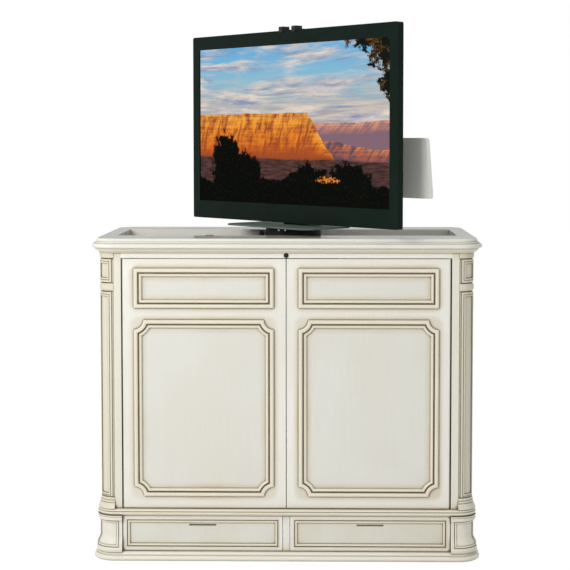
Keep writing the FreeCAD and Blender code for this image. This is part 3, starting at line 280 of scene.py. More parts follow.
def paint(name, colour, roughness, glaze=1.0, top=None, frames=(), behind=0.0, haze=0.62, slot=None):
    """Brushed antique paint with a brown glaze that was wiped off and stays in the corners.

    top is the tone of a varnished top face seen from above. frames, behind and slot say where the
    mouldings, the face's back and the finger slot are.
    """
    g = Graph(name)
    streaks = g.noise(g.place(BRUSH_MARKS), 1.0, detail=4.0, roughness=0.6)
    clouds = g.noise(g.place((1, 1, 0.6)), 5.0, detail=3.0, roughness=0.55)
    flecks = g.noise(g.place(), FLECKS, detail=2.0, roughness=0.5)
    wear = g.noise(g.place(shift=(3, 1, 2)), 2.4, detail=3.0, roughness=0.5)
    tone = g.mix(g.span(clouds, 0.3, 0.7), scaled(colour, 0.955), colour)
    tone = g.mix(g.span(streaks, 0.40, 0.75, 0.0, 0.15), tone, STREAK)
    tone = g.mix(g.span(wear, 0.42, 0.72, 0.0, 0.10), tone, GLAZE_LIGHT)
    rough = g.span(streaks, 0.2, 0.8, roughness - 0.05, roughness + 0.07)
    if top:
        up = g.split(g.add("ShaderNodeNewGeometry").outputs["Normal"])[2]
        # painted reflection: the top turns darker towards a flat view, in place of its varnish's own
        # reflection
        flat = g.add("ShaderNodeLayerWeight", {"Blend": 0.5}).outputs["Facing"]
        varnished = g.mix(g.span(flat, *GRAZING, smooth=True), top, TOP_PAINTED_REFLECTION)
        tone = g.mix(g.span(up, *TOP_FACE), tone, varnished)
        rough = g.math("SUBTRACT", rough, g.span(up, *TOP_FACE, 0.0, 0.18))
    if frames:
        tone = framed_tone(g, tone, clouds, frames, behind)
    wide = g.span(cavity(g, WIDE_GLAZE), *WIDE_FROM, 0.0, haze * glaze, smooth=True)
    tone = g.mix(g.math("MULTIPLY", wide, g.span(clouds, 0.25, 0.7, 0.5, 1.0)), tone, GLAZE_LIGHT)
    close = g.span(cavity(g, CLOSE_GLAZE), *CLOSE_FROM, 0.0, CLOSE_STRENGTH * glaze, smooth=True)
    close = g.math("MULTIPLY", close, g.span(flecks, 0.2, 0.6, 0.82, 1.0))
    if slot:
        close = g.math("MULTIPLY", close, outside_slot(g, *slot))
    tone = g.mix(close, tone, GLAZE)
    normal = g.bump(g.math("ADD", streaks, g.math("MULTIPLY", flecks, 0.4)), 0.12, 0.0006)
    shine = TOP_SHINE if top else PAINT_SHINE
    return g.finish(Base_Color=tone, Roughness=rough, Normal=normal, Specular_IOR_Level=shine)


# ---- wood, metal and plastic ----------------------------------------------------
def wood(name, dark, light, roughness):
    """Lacquered wood with its grain along X."""
    g = Graph(name)
    rings = g.noise(g.place((1.2, 26, 26)), 2.0, detail=5.0, roughness=0.65)
    pores = g.noise(g.place((18, 420, 420)), 1.0, detail=2.0, roughness=0.5)
    tone = g.mix(g.span(rings, 0.3, 0.7), dark, light)
    tone = g.mix(g.span(pores, 0.55, 0.8, 0.0, 0.4), tone, scaled(dark, 0.55))
    rough = g.span(pores, 0.3, 0.8, roughness, roughness + 0.15)
    return g.finish(Base_Color=tone, Roughness=rough, Normal=g.bump(pores, 0.2, 0.0004))


def metal(name, colour, roughness, stretch=(1, 1, 1)):
    """Bare metal, its brush marks long where stretch is small."""
    g = Graph(name)
    brushed = g.noise(g.place(tuple(300 * s for s in stretch)), 1.0, detail=3.0, roughness=0.6)
    patches = g.noise(g.place(), 14.0, detail=3.0, roughness=0.5)
    tone = g.mix(g.span(patches, 0.3, 0.7), scaled(colour, 0.82), colour)
    rough = g.math("ADD", g.span(brushed, 0.25, 0.75, roughness - 0.06, roughness + 0.08),
                   g.span(patches, 0.3, 0.7, 0.0, 0.06))
    return g.finish(Base_Color=tone, Metallic=1.0, Roughness=rough, Normal=g.bump(brushed, 0.10, 0.0003))


def powder_coat(name, colour):
    """Black coat on steel, with a fine orange-peel grain."""
    g = Graph(name)
    grain = g.noise(g.place(), 900.0, detail=2.0, roughness=0.5)
    patches = g.noise(g.place(), 9.0, detail=2.0, roughness=0.5)
    tone = g.mix(g.span(patches, 0.3, 0.7), colour, scaled(colour, 1.5))
    return g.finish(Base_Color=tone, Roughness=g.span(grain, 0.3, 0.7, 0.42, 0.55),
                    Normal=g.bump(grain, 0.25, 0.0004), Specular_IOR_Level=0.12)


def plastic(name, colour, roughness, grain_height, shine):
    """Moulded plastic with a thin film of dust."""
    g = Graph(name)
    grain = g.noise(g.place(), 1400.0, detail=2.0, roughness=0.55)
    dust = g.noise(g.place(), 12.0, detail=4.0, roughness=0.6)
    tone = g.mix(g.span(dust, 0.45, 0.8, 0.0, 0.35), colour, scaled(colour, 1.7, 0.002))
    rough = g.span(dust, 0.3, 0.8, roughness, roughness + 0.07)
    return g.finish(Base_Color=tone, Roughness=rough, Normal=g.bump(grain, 0.3, grain_height),
                    Specular_IOR_Level=shine)


# ---- the picture on the screen --------------------------------------------------
# the sky from its haze to its top: height in the picture, colour
SKY = [(0.46, (0.46, 0.36, 0.33)), (0.60, (0.40, 0.42, 0.45)), (0.78, (0.26, 0.52, 0.68)),
       (1.0, (0.13, 0.43, 0.74))]
CLOUD_SLANT = -0.24          # radians
WISP_SLANT = -0.20
CLOUD_SHADE = (0.25, 0.31, 0.46, 1.0)
CLOUD_LIT = (0.86, 0.73, 0.62, 1.0)
WISP = (0.78, 0.64, 0.50, 1.0)
PLAIN = ((0.125, 0.110, 0.165, 1.0), (0.235, 0.165, 0.190, 1.0))
# a hill's lit colours from its crest to its foot, then its shade
FAR_HILLS = ((0.80, 0.36, 0.24), (0.62, 0.25, 0.17), (0.30, 0.16, 0.18), (0.24, 0.14, 0.18))
LOW_HILLS = ((0.80, 0.26, 0.09), (0.50, 0.13, 0.06), (0.15, 0.085, 0.10), (0.115, 0.072, 0.100))
BLUFF = ((0.95, 0.44, 0.065), (0.90, 0.28, 0.026), (0.66, 0.100, 0.014), (0.36, 0.075, 0.022))
LIT_STOPS = (0.0, 0.45, 1.0)
SCRUB = ((0.036, 0.022, 0.024, 1.0), (0.135, 0.058, 0.046, 1.0))
LEAF = ((0.0022, 0.0030, 0.0020, 1.0), (0.034, 0.022, 0.009, 1.0))
TWIG = ((0.006, 0.009, 0.006, 1.0), (0.230, 0.095, 0.024, 1.0))
EMBER = (0.82, 0.24, 0.035, 1.0)
# a skyline's height, swing, scale and seed, then the noise's detail and roughness
PLAIN_EDGE = (0.505, 0.03, 3.0, 2.3)
FAR_CREST = (0.515, 0.10, 4.2, 5.1, 5.0)
LOW_CREST = (0.405, 0.09, 5.0, 8.8, 6.0)
BLUFF_SHELF = (0.0, 0.035, 9.0, 1.7, 6.0)
VALLEY_EDGE = (0.290, 0.05, 3.5, 4.4, 6.0)
HEDGE_TOP = (0.165, 0.30, 4.2, 12.7, 10.0, 0.70)
FAR_FALL = 0.075             # crest to foot
LOW_FALL = 0.11
BLUFF_FOOT = 0.295
BOUGH_RAGGED = 3.4
# clumps of leaves: middle and reach, across and up
BUSHES = (((0.155, 0.20), (0.085, 0.27)), ((0.26, 0.14), (0.10, 0.20)), ((0.60, 0.07), (0.14, 0.19)),
          ((0.80, 0.10), (0.13, 0.17)))
BOUGHS = (((1.0, 0.93), (0.10, 0.13)), ((0.90, 0.99), (0.09, 0.06)), ((0.985, 0.74), (0.045, 0.08)))
EMBERS = ((0.70, 0.165), (0.075, 0.026))


class Picture(Graph):
    """A graph with the picture's own width and height, each 0 to 1, as across and up."""

    def __init__(self, name):
        super().__init__(name)
        self.uv = self.add("ShaderNodeTexCoord").outputs["UV"]
        self.across, self.up = self.split(self.uv)[:2]

    def grain(self, scale, detail, roughness, turn=0.0, size=1.0):
        """Noise stretched across and up."""
        return self.noise(self.stretched(self.uv, (*scale, 1.0), turn=turn), size, detail, roughness)


def ridge(g, height, swing, scale, seed, detail=4.0, roughness=0.52):
    """The height of a skyline at a place across the picture."""
    wave = g.noise(g.joined(g.across, seed, seed), scale, detail, roughness)
    return g.math("ADD", height, g.math("MULTIPLY", g.math("SUBTRACT", wave, 0.5), swing))


def clump(g, middle, reach, leaves, ragged_by=1.5):
    """A rounded mass of leaves: above 0 inside it, with a ragged edge."""
    offset = g.vector("DIVIDE", g.vector("SUBTRACT", g.uv, (*middle, 0.0)), (*reach, 1.0))
    far = g.add("ShaderNodeVectorMath", {0: offset}, operation="LENGTH").outputs["Value"]
    ragged = g.math("MULTIPLY", g.math("SUBTRACT", leaves, 0.5), ragged_by)
    return g.math("ADD", g.math("SUBTRACT", 1.0, far), ragged)


def evening_sky(g):
    """Blue at the top, haze at the bottom, with three layers of drifting cloud."""
    sky = g.ramp(g.up, SKY)
    drift = g.grain((1.6, 4.6), detail=5.0, roughness=0.5, turn=CLOUD_SLANT)
    bent = g.vector("ADD", g.stretched(g.uv, (1.9, 7.5, 1.0), turn=CLOUD_SLANT),
                    g.vector("MULTIPLY", drift, (0.7, 1.1, 0.0)))
    puffs = g.noise(bent, 1.35, detail=8.0, roughness=0.60)
    shade = g.noise(bent, 2.6, detail=5.0, roughness=0.60)
    wisps = g.grain((3.0, 30.0), detail=5.0, roughness=0.62, turn=WISP_SLANT, size=1.2)
    lit = g.mix(g.span(shade, 0.38, 0.60), CLOUD_SHADE, CLOUD_LIT)
    cloudy = g.mix(g.span(puffs, 0.42, 0.60, 0.0, 0.94, smooth=True), sky, lit)
    low = g.span(g.up, 0.86, 0.60)
    return g.mix(g.math("MULTIPLY", g.span(wisps, 0.46, 0.66, 0.0, 0.85), low), cloudy, WISP)


def slope(g, picture, crest, foot, colours, seed):
    """One hill face between its crest line and its foot: ledges across it, gullies down it."""
    *lit, shade = colours
    below = g.math("SUBTRACT", crest, g.up)
    share = g.math("DIVIDE", below, g.math("MAXIMUM", g.math("SUBTRACT", crest, foot), 0.02), clamp=True)
    lean = g.math("ADD", g.across, g.math("MULTIPLY", share, 0.05))
    where = g.joined(g.math("MULTIPLY", lean, 34.0), g.math("MULTIPLY", g.up, 9.0), seed)
    gullies = g.noise(where, 1.0, detail=6.0, roughness=0.62)
    ledges = g.grain((5.0, 64.0), detail=4.0, roughness=0.55, turn=0.05)
    relief = g.math("ADD", g.math("MULTIPLY", gullies, 0.72), g.math("MULTIPLY", ledges, 0.34))
    fissures = g.noise(g.vector("MULTIPLY", where, (1.7, 0.45, 1.0)), 1.0, detail=3.0, roughness=0.5)
    sun = g.math("MULTIPLY", g.span(relief, 0.43, 0.60), g.span(share, 1.0, 0.72), clamp=True)
    sun = g.math("MULTIPLY", sun, g.span(fissures, 0.36, 0.43, 0.15, 1.0))
    warm = g.ramp(share, list(zip(LIT_STOPS, lit)))
    return g.mix(g.span(below, 0.0, 0.004), picture, g.mix(sun, (*shade, 1.0), warm))


def land(g, picture):
    """Far to near: a hazy plain, low hills, the sunlit bluff on the left, the shaded valley floor."""
    bands = g.grain((7.0, 46.0), detail=5.0, roughness=0.6, turn=-0.07)
    haze = g.mix(g.span(bands, 0.35, 0.65), *PLAIN)
    edge = ridge(g, *PLAIN_EDGE)
    picture = g.mix(g.span(g.math("SUBTRACT", edge, g.up), 0.0, 0.006), picture, haze)

    far = ridge(g, *FAR_CREST)
    picture = slope(g, picture, far, g.math("SUBTRACT", far, FAR_FALL), FAR_HILLS, 7.0)
    low = g.math("ADD", ridge(g, *LOW_CREST), g.span(g.across, 0.42, 0.95, 0.03, -0.05))
    picture = slope(g, picture, low, g.math("SUBTRACT", low, LOW_FALL), LOW_HILLS, 3.0)

    shelf = ridge(g, *BLUFF_SHELF)
    stepped = g.math("ADD", g.across, g.math("MULTIPLY", shelf, 2.0))
    bluff = g.math("ADD", g.span(stepped, 0.60, 0.76, 0.570, 0.22), shelf)
    picture = slope(g, picture, bluff, g.math("ADD", BLUFF_FOOT, shelf), BLUFF, 11.0)

    valley = g.math("ADD", ridge(g, *VALLEY_EDGE), g.span(g.across, 0.0, 1.0, 0.015, -0.01))
    scrub = g.grain((16.0, 60.0), detail=6.0, roughness=0.62, turn=-0.10)
    ground = g.mix(g.span(scrub, 0.38, 0.66), *SCRUB)
    return g.mix(g.span(g.math("SUBTRACT", valley, g.up), 0.0, 0.012), picture, ground)


def landscape(name):
    """A made-up evening view over hills, framed by bushes below and boughs at the top right."""
    g = Picture(name)
    picture = land(g, evening_sky(g))
    leaves = g.grain((26.0, 15.0), detail=7.0, roughness=0.70)
    fine = g.grain((96.0, 60.0), detail=4.0, roughness=0.62)

    dark = g.math("MULTIPLY", g.math("SUBTRACT", ridge(g, *HEDGE_TOP), g.up), 9.0)
    for middle, reach in BUSHES:
        dark = g.math("MAXIMUM", dark, clump(g, middle, reach, leaves))
    leaf = g.mix(g.span(fine, 0.56, 0.80, 0.0, 0.8), *LEAF)
    picture = g.mix(g.span(dark, 0.0, 0.10), picture, leaf)

    bough = -1.0
    for middle, reach in BOUGHS:
        bough = g.math("MAXIMUM", bough, clump(g, middle, reach, leaves, BOUGH_RAGGED))
    patches = g.grain((17.0, 11.0), detail=2.0, roughness=0.5)
    brown = g.math("MULTIPLY", g.span(fine, 0.44, 0.60), g.span(patches, 0.48, 0.62), clamp=True)
    picture = g.mix(g.span(bough, 0.0, 0.10), picture, g.mix(brown, *TWIG))

    glow = g.math("MULTIPLY", clump(g, *EMBERS, leaves), g.span(fine, 0.44, 0.62))
    picture = g.mix(g.span(glow, 0.08, 0.30), picture, EMBER)
    return g.finish(Base_Color=grey(0.002), Roughness=0.25, Emission_Color=picture, Emission_Strength=0.95,
                    Specular_IOR_Level=0.0)


# ---- which node has which look --------------------------------------------------
def moulded(node, width, corner, reach, gap=None):
    """A node's moulded frames on the front: outline, width, corner and the reach of their glaze.

    gap is the height of the rail between two frames that are one node.
    """
    low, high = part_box(node)
    levels = [(low.z, gap[0]), (gap[1], high.z)] if gap else [(low.z, high.z)]
    return [((low.x, high.x, z0, z1), width, corner, reach) for z0, z1 in levels]


def mid_depth(node):
    """The depth halfway through a panel."""
    low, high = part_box(node)
    return (low.y + high.y) / 2


def door_paint():
    """Both doors' paint, with the marks round their mouldings."""
    frames = moulded("door_right_mouldings", DOOR_MOULDING, DOOR_MOULDING_CORNER, DOOR_HALO,
                     DOOR_MOULDING_GAP)
    return paint("cream_door", (0.905, 0.885, 0.825, 1.0), roughness=0.40, frames=frames,
                 behind=mid_depth("door_right"))


def drawer_paint():
    """Both drawers' paint, with the marks round their mouldings and none in the finger slots."""
    low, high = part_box("drawer_right_front")
    frames = moulded("drawer_right_moulding", DRAWER_MOULDING, DRAWER_MOULDING_CORNER, DRAWER_HALO)
    return paint("cream_drawer", (0.915, 0.905, 0.855, 1.0), roughness=0.40, frames=frames,
                 behind=mid_depth("drawer_right_front"), haze=0.25, slot=(high.z - SLOT_DROP, low.y))


# the look of each material slot
LOOKS = {
    "cream_paint": paint("cream_paint", (0.855, 0.848, 0.800, 1.0), roughness=0.40),
    "gloss_top": paint("gloss_top_paint", (0.89, 0.87, 0.80, 1.0), roughness=0.30, glaze=0.2, top=TOP_TONE),
    "inner_wood": wood("inner_wood", (0.42, 0.28, 0.15, 1.0), (0.60, 0.44, 0.26, 1.0), 0.4),
    "bright_steel": metal("bright_steel", (0.62, 0.62, 0.60, 1.0), 0.26, (1, 1, 0.04)),
    "black_metal": powder_coat("black_metal", (0.020, 0.021, 0.021, 1.0)),
    "bezel_gloss": plastic("bezel_gloss", (0.0052, 0.0125, 0.0088, 1.0), 0.22, 0.00002, 0.05),
    "black_plastic": plastic("black_plastic", (0.013, 0.015, 0.014, 1.0), 0.45, 0.0003, 0.15),
    # painted reflection: the foot's grey-green is what its glossy black surface reflects, held in its colour
    # with little shine
    "foot_gloss": plastic("foot_gloss", (0.115, 0.152, 0.128, 1.0), 0.50, 0.00002, 0.02),
    "chassis_metal": metal("chassis_metal", (0.50, 0.50, 0.50, 1.0), 0.35),
    "bronze": metal("bronze", (0.48, 0.30, 0.11, 1.0), 0.34),
    "bearing_plastic": plastic("bearing_plastic", (0.72, 0.71, 0.66, 1.0), 0.35, 0.0001, 0.4),
    "screen_glass": landscape("screen_picture"),
}
CUP_PAINT = paint("cream_cup", (0.900, 0.880, 0.820, 1.0), roughness=0.42, glaze=0.1)

# nodes whose coat differs from their material slot's
BEADS = ("door_left_mouldings", "door_right_mouldings", "side_mouldings", "drawer_left_moulding",
         "drawer_right_moulding", "cornice")
COLUMNS = ("column_front_left", "column_front_right", "columns_rear")
OWN_PAINT = {
    **dict.fromkeys(("door_left", "door_right"), door_paint()),
    **dict.fromkeys(("drawer_left_front", "drawer_right_front"), drawer_paint()),
    **dict.fromkeys(BEADS, paint("cream_bead", (0.870, 0.812, 0.685, 1.0), roughness=0.38)),
    **dict.fromkeys(COLUMNS, paint("cream_column", (0.790, 0.735, 0.615, 1.0), roughness=0.38, glaze=1.15)),
    "waist_frame": paint("cream_waist", (0.875, 0.820, 0.690, 1.0), roughness=0.38, glaze=0.8),
    "stiles": paint("cream_stile", (0.845, 0.815, 0.725, 1.0), roughness=0.40),
    "plinth_blocks": paint("cream_plinth", (0.870, 0.830, 0.730, 1.0), roughness=0.38, glaze=1.1, haze=0.40),
    "base_frame": paint("cream_base", (0.945, 0.915, 0.825, 1.0), roughness=0.38, glaze=0.38),
    "frieze_rail": paint("cream_frieze", (0.950, 0.920, 0.860, 1.0), roughness=0.38, glaze=0.38),
    # painted light: a paler cream with little glaze, so that the cover in the television's shade reads
    # lighter
    "rear_cover": paint("cream_cover_painted_light", (0.985, 0.975, 0.905, 1.0), roughness=0.42, glaze=0.1),
}


def dress_cad():
    """Every carried-over CAD node gets its own paint, or the look of its material slot."""
    for entry in frame["record"]["subparts"]:
        node = NODES[entry["node"]]
        node.data.materials.clear()
        node.data.materials.append(OWN_PAINT.get(entry["node"], LOOKS[entry["material_slot"]]))


# ---- ways to make a piece -------------------------------------------------------
def new_object(name, mesh_edit, material):
    """A mesh object made by mesh_edit(bmesh)."""
    bm = bmesh.new()
    mesh_edit(bm)
    mesh = bpy.data.meshes.new(name)
    bm.to_mesh(mesh)
    bm.free()
    mesh.materials.append(material)
    made = bpy.data.objects.new(name, mesh)
    SCENE.collection.objects.link(made)
    return made


def new_piece(name, mesh_edit, body, slot, look=None):
    """A piece made in the row frame, riding on a body, with its slot's look unless another is given."""
    piece = new_object(name, mesh_edit, look or LOOKS[slot])
    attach(piece, body)
    return piece


def turned_frame():
    """From the television's own axes, facing -Y, to the row frame at rest."""
    return Matrix.Translation(LIFT_AXIS) @ Matrix.Rotation(TURN, 4, "Z")


def facing(place, direction):
    """A frame at a place with its Z along a direction."""
    turn = Vector(direction).to_track_quat("Z", "Y").to_matrix().to_4x4()
    return Matrix.Translation(Vector(place)) @ turn


def bar(bm, low, high, frame_of=Matrix.Identity(4), edge=EASED):
    """A bar between two corners with eased edges."""
    made = bmesh.ops.create_cube(bm, size=1.0)["verts"]
    middle = [(a + b) / 2 for a, b in zip(low, high)]
    for vert in made:
        vert.co = Vector([m + c * (b - a) for m, c, a, b in zip(middle, vert.co, low, high)])
    edges = dict.fromkeys(e for v in made for e in v.link_edges)
    eased = bmesh.ops.bevel(bm, geom=list(edges), offset=edge, segments=2, affect="EDGES", profile=0.6)
    verts = dict.fromkeys([*eased["verts"], *(v for v in made if v.is_valid)])
    bmesh.ops.transform(bm, matrix=frame_of, verts=list(verts))


def spun(bm, profile, matrix, sides=24):
    """A closed turned form: (radius or radii by angle, height) rings about Z."""
    rings = []
    for radius, height in profile:
        ring = []
        for k in range(sides):
            angle = 2 * math.pi * k / sides
            reach = radius(angle) if callable(radius) else radius
            place = Vector((reach * math.cos(angle), reach * math.sin(angle), height))
            ring.append(bm.verts.new(matrix @ place))
        rings.append(ring)
    for low, high in zip(rings, rings[1:]):
        for k in range(sides):
            bm.faces.new((low[k], low[(k + 1) % sides], high[(k + 1) % sides], high[k]))
    bm.faces.new(rings[-1])
    bm.faces.new(list(reversed(rings[0])))


def screw_heads(name, places, direction, radius, body, slot, frame_of=Matrix.Identity(4)):
    """Button heads with a six-sided socket, standing on a surface."""
    # radius and height of the head's outline, and the socket, all times the head's radius
    head = ((1.0, 0.0), (1.0, 0.10), (0.95, 0.26), (0.82, 0.40), (0.66, 0.47))
    socket_radius, rim, socket_floor = 0.48, 0.48, 0.14

    def hexagon(angle):
        middle_of_side = (angle % (math.pi / 3)) - math.pi / 6
        return socket_radius * radius / math.cos(middle_of_side) * math.cos(math.pi / 6)

    profile = [(out * radius, up * radius) for out, up in head]
    profile += [(hexagon, rim * radius), (hexagon, socket_floor * radius)]

    def edit(bm):
        for place in places:
            spun(bm, profile, frame_of @ facing(place, direction))

    new_piece(name, edit, body, slot)


def on_wall(xs, y, zs):
    """Places at each X and Z of an upright face."""
    return [(x, y, z) for x in xs for z in zs]


# ---- pieces on the cabinet, drawers and lift ------------------------------------
def back_screws():
    """Screws round the edge of the back panel."""
    inset, count, radius = 0.022, 5, 0.0050
    low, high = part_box("back_panel")
    xs = [low.x + inset + (high.x - low.x - 2 * inset) * k / (count - 1) for k in range(count)]
    zs = [low.z + inset + (high.z - low.z - 2 * inset) * k / (count - 1) for k in range(count)]
    edges = (xs[0], xs[-1], zs[0], zs[-1])
    places = [(x, y, z) for x, y, z in on_wall(xs, high.y, zs) if x in edges[:2] or z in edges[2:]]
    screw_heads("back_screws", places, BACKWARD, radius, "cabinet", "bright_steel")


def outlet_screws():
    """A screw in each corner of the cable outlet."""
    inset, radius = 0.0055, 0.0030
    low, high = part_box("cable_grommet")
    places = on_wall((low.x + inset, high.x - inset), high.y, (low.z + inset, high.z - inset))
    screw_heads("outlet_screws", places, BACKWARD, radius, "cabinet", "bright_steel")


def plate_bolts():
    """A bolt in each corner of the lift's crosshead and base plate."""
    radius = 0.0065
    for name, node, inset in (
            ("crosshead_bolts", "crosshead", 0.014),
            ("base_plate_bolts", "lift_base_plate", 0.012)):
        low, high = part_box(node)
        xs, ys = (low.x + inset, high.x - inset), (low.y + inset, high.y - inset)
        places = [(x, y, high.z) for x in xs for y in ys]
        screw_heads(name, places, UPWARD, radius, "cabinet", "bright_steel")


def outlet_brush():
    """Two facing sets of bristles, three rows deep, that close the cable outlet."""
    wall, end_room = 0.012, 0.0006
    row_setback, row_pitch, rows = 0.0045, 0.0025, 3
    gap, lean_by, depth_by = 0.0035, 0.0012, 0.0006      # the most that a bristle is off its place
    thinnest, thickest, tip_share = 0.00045, 0.0007, 0.55    # from a bristle's middle to its corner
    closest, widest = 0.0010, 0.0014                     # from one bristle to the next
    sides = ((1, 0, 0), (0, 1, 0), (-1, 0, 0), (0, -1, 0))
    low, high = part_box("cable_grommet")
    left, right, under, over = low.x + wall, high.x - wall, low.z + wall, high.z - wall
    middle = (under + over) / 2
    dice = random.Random(7)

    def edit(bm):
        for row in range(rows):
            row_y = low.y + row_setback + row_pitch * row
            x = left + end_room
            while x < right - end_room:
                for root, reach in ((under, 1.0), (over, -1.0)):
                    tip = middle + reach * dice.uniform(0.0, gap)
                    lean = dice.uniform(-lean_by, lean_by)
                    at = Vector((x, row_y + dice.uniform(-depth_by, depth_by), root))
                    end = Vector((x + lean, at.y + lean * 0.5, tip))
                    thick = dice.uniform(thinnest, thickest)
                    corners = [Vector(side) * thick for side in sides]
                    base = [bm.verts.new(at + c) for c in corners]
                    top = [bm.verts.new(end + c * tip_share) for c in corners]
                    for k in range(4):
                        bm.faces.new((base[k], base[(k + 1) % 4], top[(k + 1) % 4], top[k]))
                    bm.faces.new(top)
                x += dice.uniform(closest, widest)
        bmesh.ops.recalc_face_normals(bm, faces=bm.faces)

    new_piece("outlet_brush", edit, "cabinet", "black_plastic")


def finger_cups():
    """A thin painted lip behind each drawer's finger slot, with a ledge under it."""
    half, thick, ledge = 0.0597, 0.0020, 0.0020
    setback, ledge_setback = 0.0092, 0.0004      # behind the drawer's front board
    under, over = 0.0135, 0.0105                 # below and above the slot's middle
    for side in ("left", "right"):
        low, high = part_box("drawer_%s_front" % side)
        slot_z = high.z - SLOT_DROP
        x0, x1 = (low.x + high.x) / 2 - half, (low.x + high.x) / 2 + half
        back = high.y + setback

        def edit(bm):
            bar(bm, (x0, back, slot_z - under), (x1, back + thick, slot_z + over))
            bar(bm, (x0, high.y + ledge_setback, slot_z - under), (x1, back, slot_z - under + ledge))

        new_piece("finger_cup_" + side, edit, "drawer_" + side, "cream_paint", CUP_PAINT)


def arm_bolts():
    """Four bolts through the arm's plate into the carriage."""
    plate, radius = 0.020, 0.0060
    side_inset, top_drop, spacing = 0.040, 0.074, 0.050
    low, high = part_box("carriage_arm")
    z1 = high.z - top_drop
    places = on_wall((low.x + side_inset, high.x - side_inset), high.y - plate, (z1 - spacing, z1))
    screw_heads("arm_bolts", places, FORWARD, radius, "carriage", "bright_steel")


def turn_switch():
    """The turning limit switch, standing on the arm beside the turntable."""
    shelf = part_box("turntable_base")[0].z
    base_top, body_top, cap_top = 0.0035, 0.0270, 0.0345
    levels = (                   # X, half its depth in Y, bottom and top, eased edge
        ((-0.1160, -0.0925), 0.0120, 0.0, base_top, 0.0006),
        ((-0.1150, -0.0935), 0.0100, base_top, body_top, 0.0012),
        ((-0.1125, -0.0960), 0.0075, body_top, cap_top, 0.0020),
    )
    rivet = [(0.0022, 0.0), (0.0022, 0.0012), (0.0012, 0.0016)]
    rivet_x, rivet_y = -0.104, 0.006

    def edit(bm):
        for (x0, x1), half, bottom, top, edge in levels:
            bar(bm, (x0, -half, shelf + bottom), (x1, half, shelf + top), edge=edge)
        for y in (-rivet_y, rivet_y):
            spun(bm, rivet, facing((rivet_x, y, shelf + cap_top), UPWARD), sides=16)

    new_piece("turn_switch", edit, "carriage", "black_plastic")


def trip():
    """The switch's trip under the television's foot: an angle bracket with two gussets and two screws."""
    place_x, place_y = -0.021, -0.132
    half, thick, drop = 0.022, 0.0035, 0.0155
    flange, reach, seat = 0.0032, 0.028, 0.0002
    gusset_xs, gusset_bottom, gusset_top, gusset_reach = (-0.018, 0.0145), -0.013, -0.003, 0.022
    screw_x, screw_z, radius = 0.012, -0.0085, 0.0036
    spot = Matrix.Translation((place_x, place_y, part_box("tv_foot")[0].z))

    def edit(bm):
        bar(bm, (-half, -thick, -drop), (half, 0.0, -seat), spot, edge=0.0006)
        bar(bm, (-half, 0.0, -flange), (half, reach, -seat), spot, edge=0.0006)
        for x in gusset_xs:
            bar(bm, (x, 0.0, gusset_bottom), (x + thick, gusset_reach, gusset_top), spot)

    new_piece("trip_bracket", edit, "television", "black_metal")
    places = on_wall((-screw_x, screw_x), -thick, (screw_z,))
    screw_heads("trip_screws", places, FORWARD, radius, "television", "bright_steel", spot)


def opening_pad():
    """The small dark pad on the opening's front wall, held by two rivets."""
    left, right, wall_y, thick = -0.310, -0.280, -0.185, 0.0050
    drop, stands, rivet_drop = 0.016, 0.0015, 0.0075     # below, above and below the cabinet's top
    rivet, rivet_inset = [(0.0024, 0.0), (0.0024, 0.0008), (0.0016, 0.0012)], 0.007
    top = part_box("top_frame")[1].z
    face = wall_y + thick

    def edit(bm):
        bar(bm, (left, wall_y, top - drop), (right, face, top + stands), edge=0.0016)
        for x in (left + rivet_inset, right - rivet_inset):
            spun(bm, rivet, facing((x, face, top - rivet_drop), BACKWARD), sides=16)

    new_piece("opening_pad", edit, "cabinet", "black_plastic")


# ---- pieces on the television, in its own axes ----------------------------------
def screen_panel():
    """The display panel, with its own width and height as texture coordinates."""
    margin = 0.0005
    columns, rows = 24, 14
    node_low, node_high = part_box("tv_screen")
    height = node_high.z - node_low.z
    width = (node_high.x - node_low.x - SCREEN_THICKNESS * abs(math.sin(TURN))) / math.cos(TURN)
    half = width / 2 - margin

    def edit(bm):
        layer = bm.loops.layers.uv.new("picture")
        points = []
        for j in range(rows + 1):
            z = node_low.z + margin + (height - 2 * margin) * j / rows
            xs = [-half + 2 * half * i / columns for i in range(columns + 1)]
            points.append([bm.verts.new(turned_frame() @ Vector((x, -SCREEN_SETFORWARD, z))) for x in xs])
        for j in range(rows):
            for i in range(columns):
                corners = ((i, j), (i + 1, j), (i + 1, j + 1), (i, j + 1))
                face = bm.faces.new([points[v][u] for u, v in corners])
                for loop, (u, v) in zip(face.loops, corners):
                    loop[layer].uv = (u / columns, v / rows)

        out = bmesh.ops.extrude_face_region(bm, geom=list(bm.faces))
        back = [v for v in out["geom"] if isinstance(v, bmesh.types.BMVert)]
        push = turned_frame().to_3x3() @ Vector((0, SCREEN_THICKNESS - margin, 0))
        bmesh.ops.translate(bm, verts=back, vec=push)
        bmesh.ops.recalc_face_normals(bm, faces=bm.faces)

    piece = new_piece("screen_panel", edit, "television", "screen_glass")
    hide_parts("tv_screen")


def louvres():
    """Four banks of air slats high on the television's back, and a wider one low at its -X end."""
    pitch, slat, proud = 0.0095, 0.0034, 0.0016
    low_z, high_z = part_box("tv_chassis")[0].z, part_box("tv_chassis")[1].z
    bank, bank_lefts, top_drop = 0.14, (-0.42, -0.26, 0.12, 0.28), 0.060
    wide_left, wide_right, bottom_rise = -0.40, -0.12, 0.075
    bank_slats, wide_slats = 9, 7
    upper = [(left, left + bank, high_z - top_drop - pitch * k)
             for left in bank_lefts for k in range(bank_slats)]
    lower = [(wide_left, wide_right, low_z + bottom_rise + pitch * k) for k in range(wide_slats)]

    def edit(bm):
        for x0, x1, z in upper + lower:
            bar(bm, (x0, TV_BACK, z), (x1, TV_BACK + proud, z + slat), turned_frame(), edge=0.0005)

    new_piece("tv_louvres", edit, "television", "black_plastic")


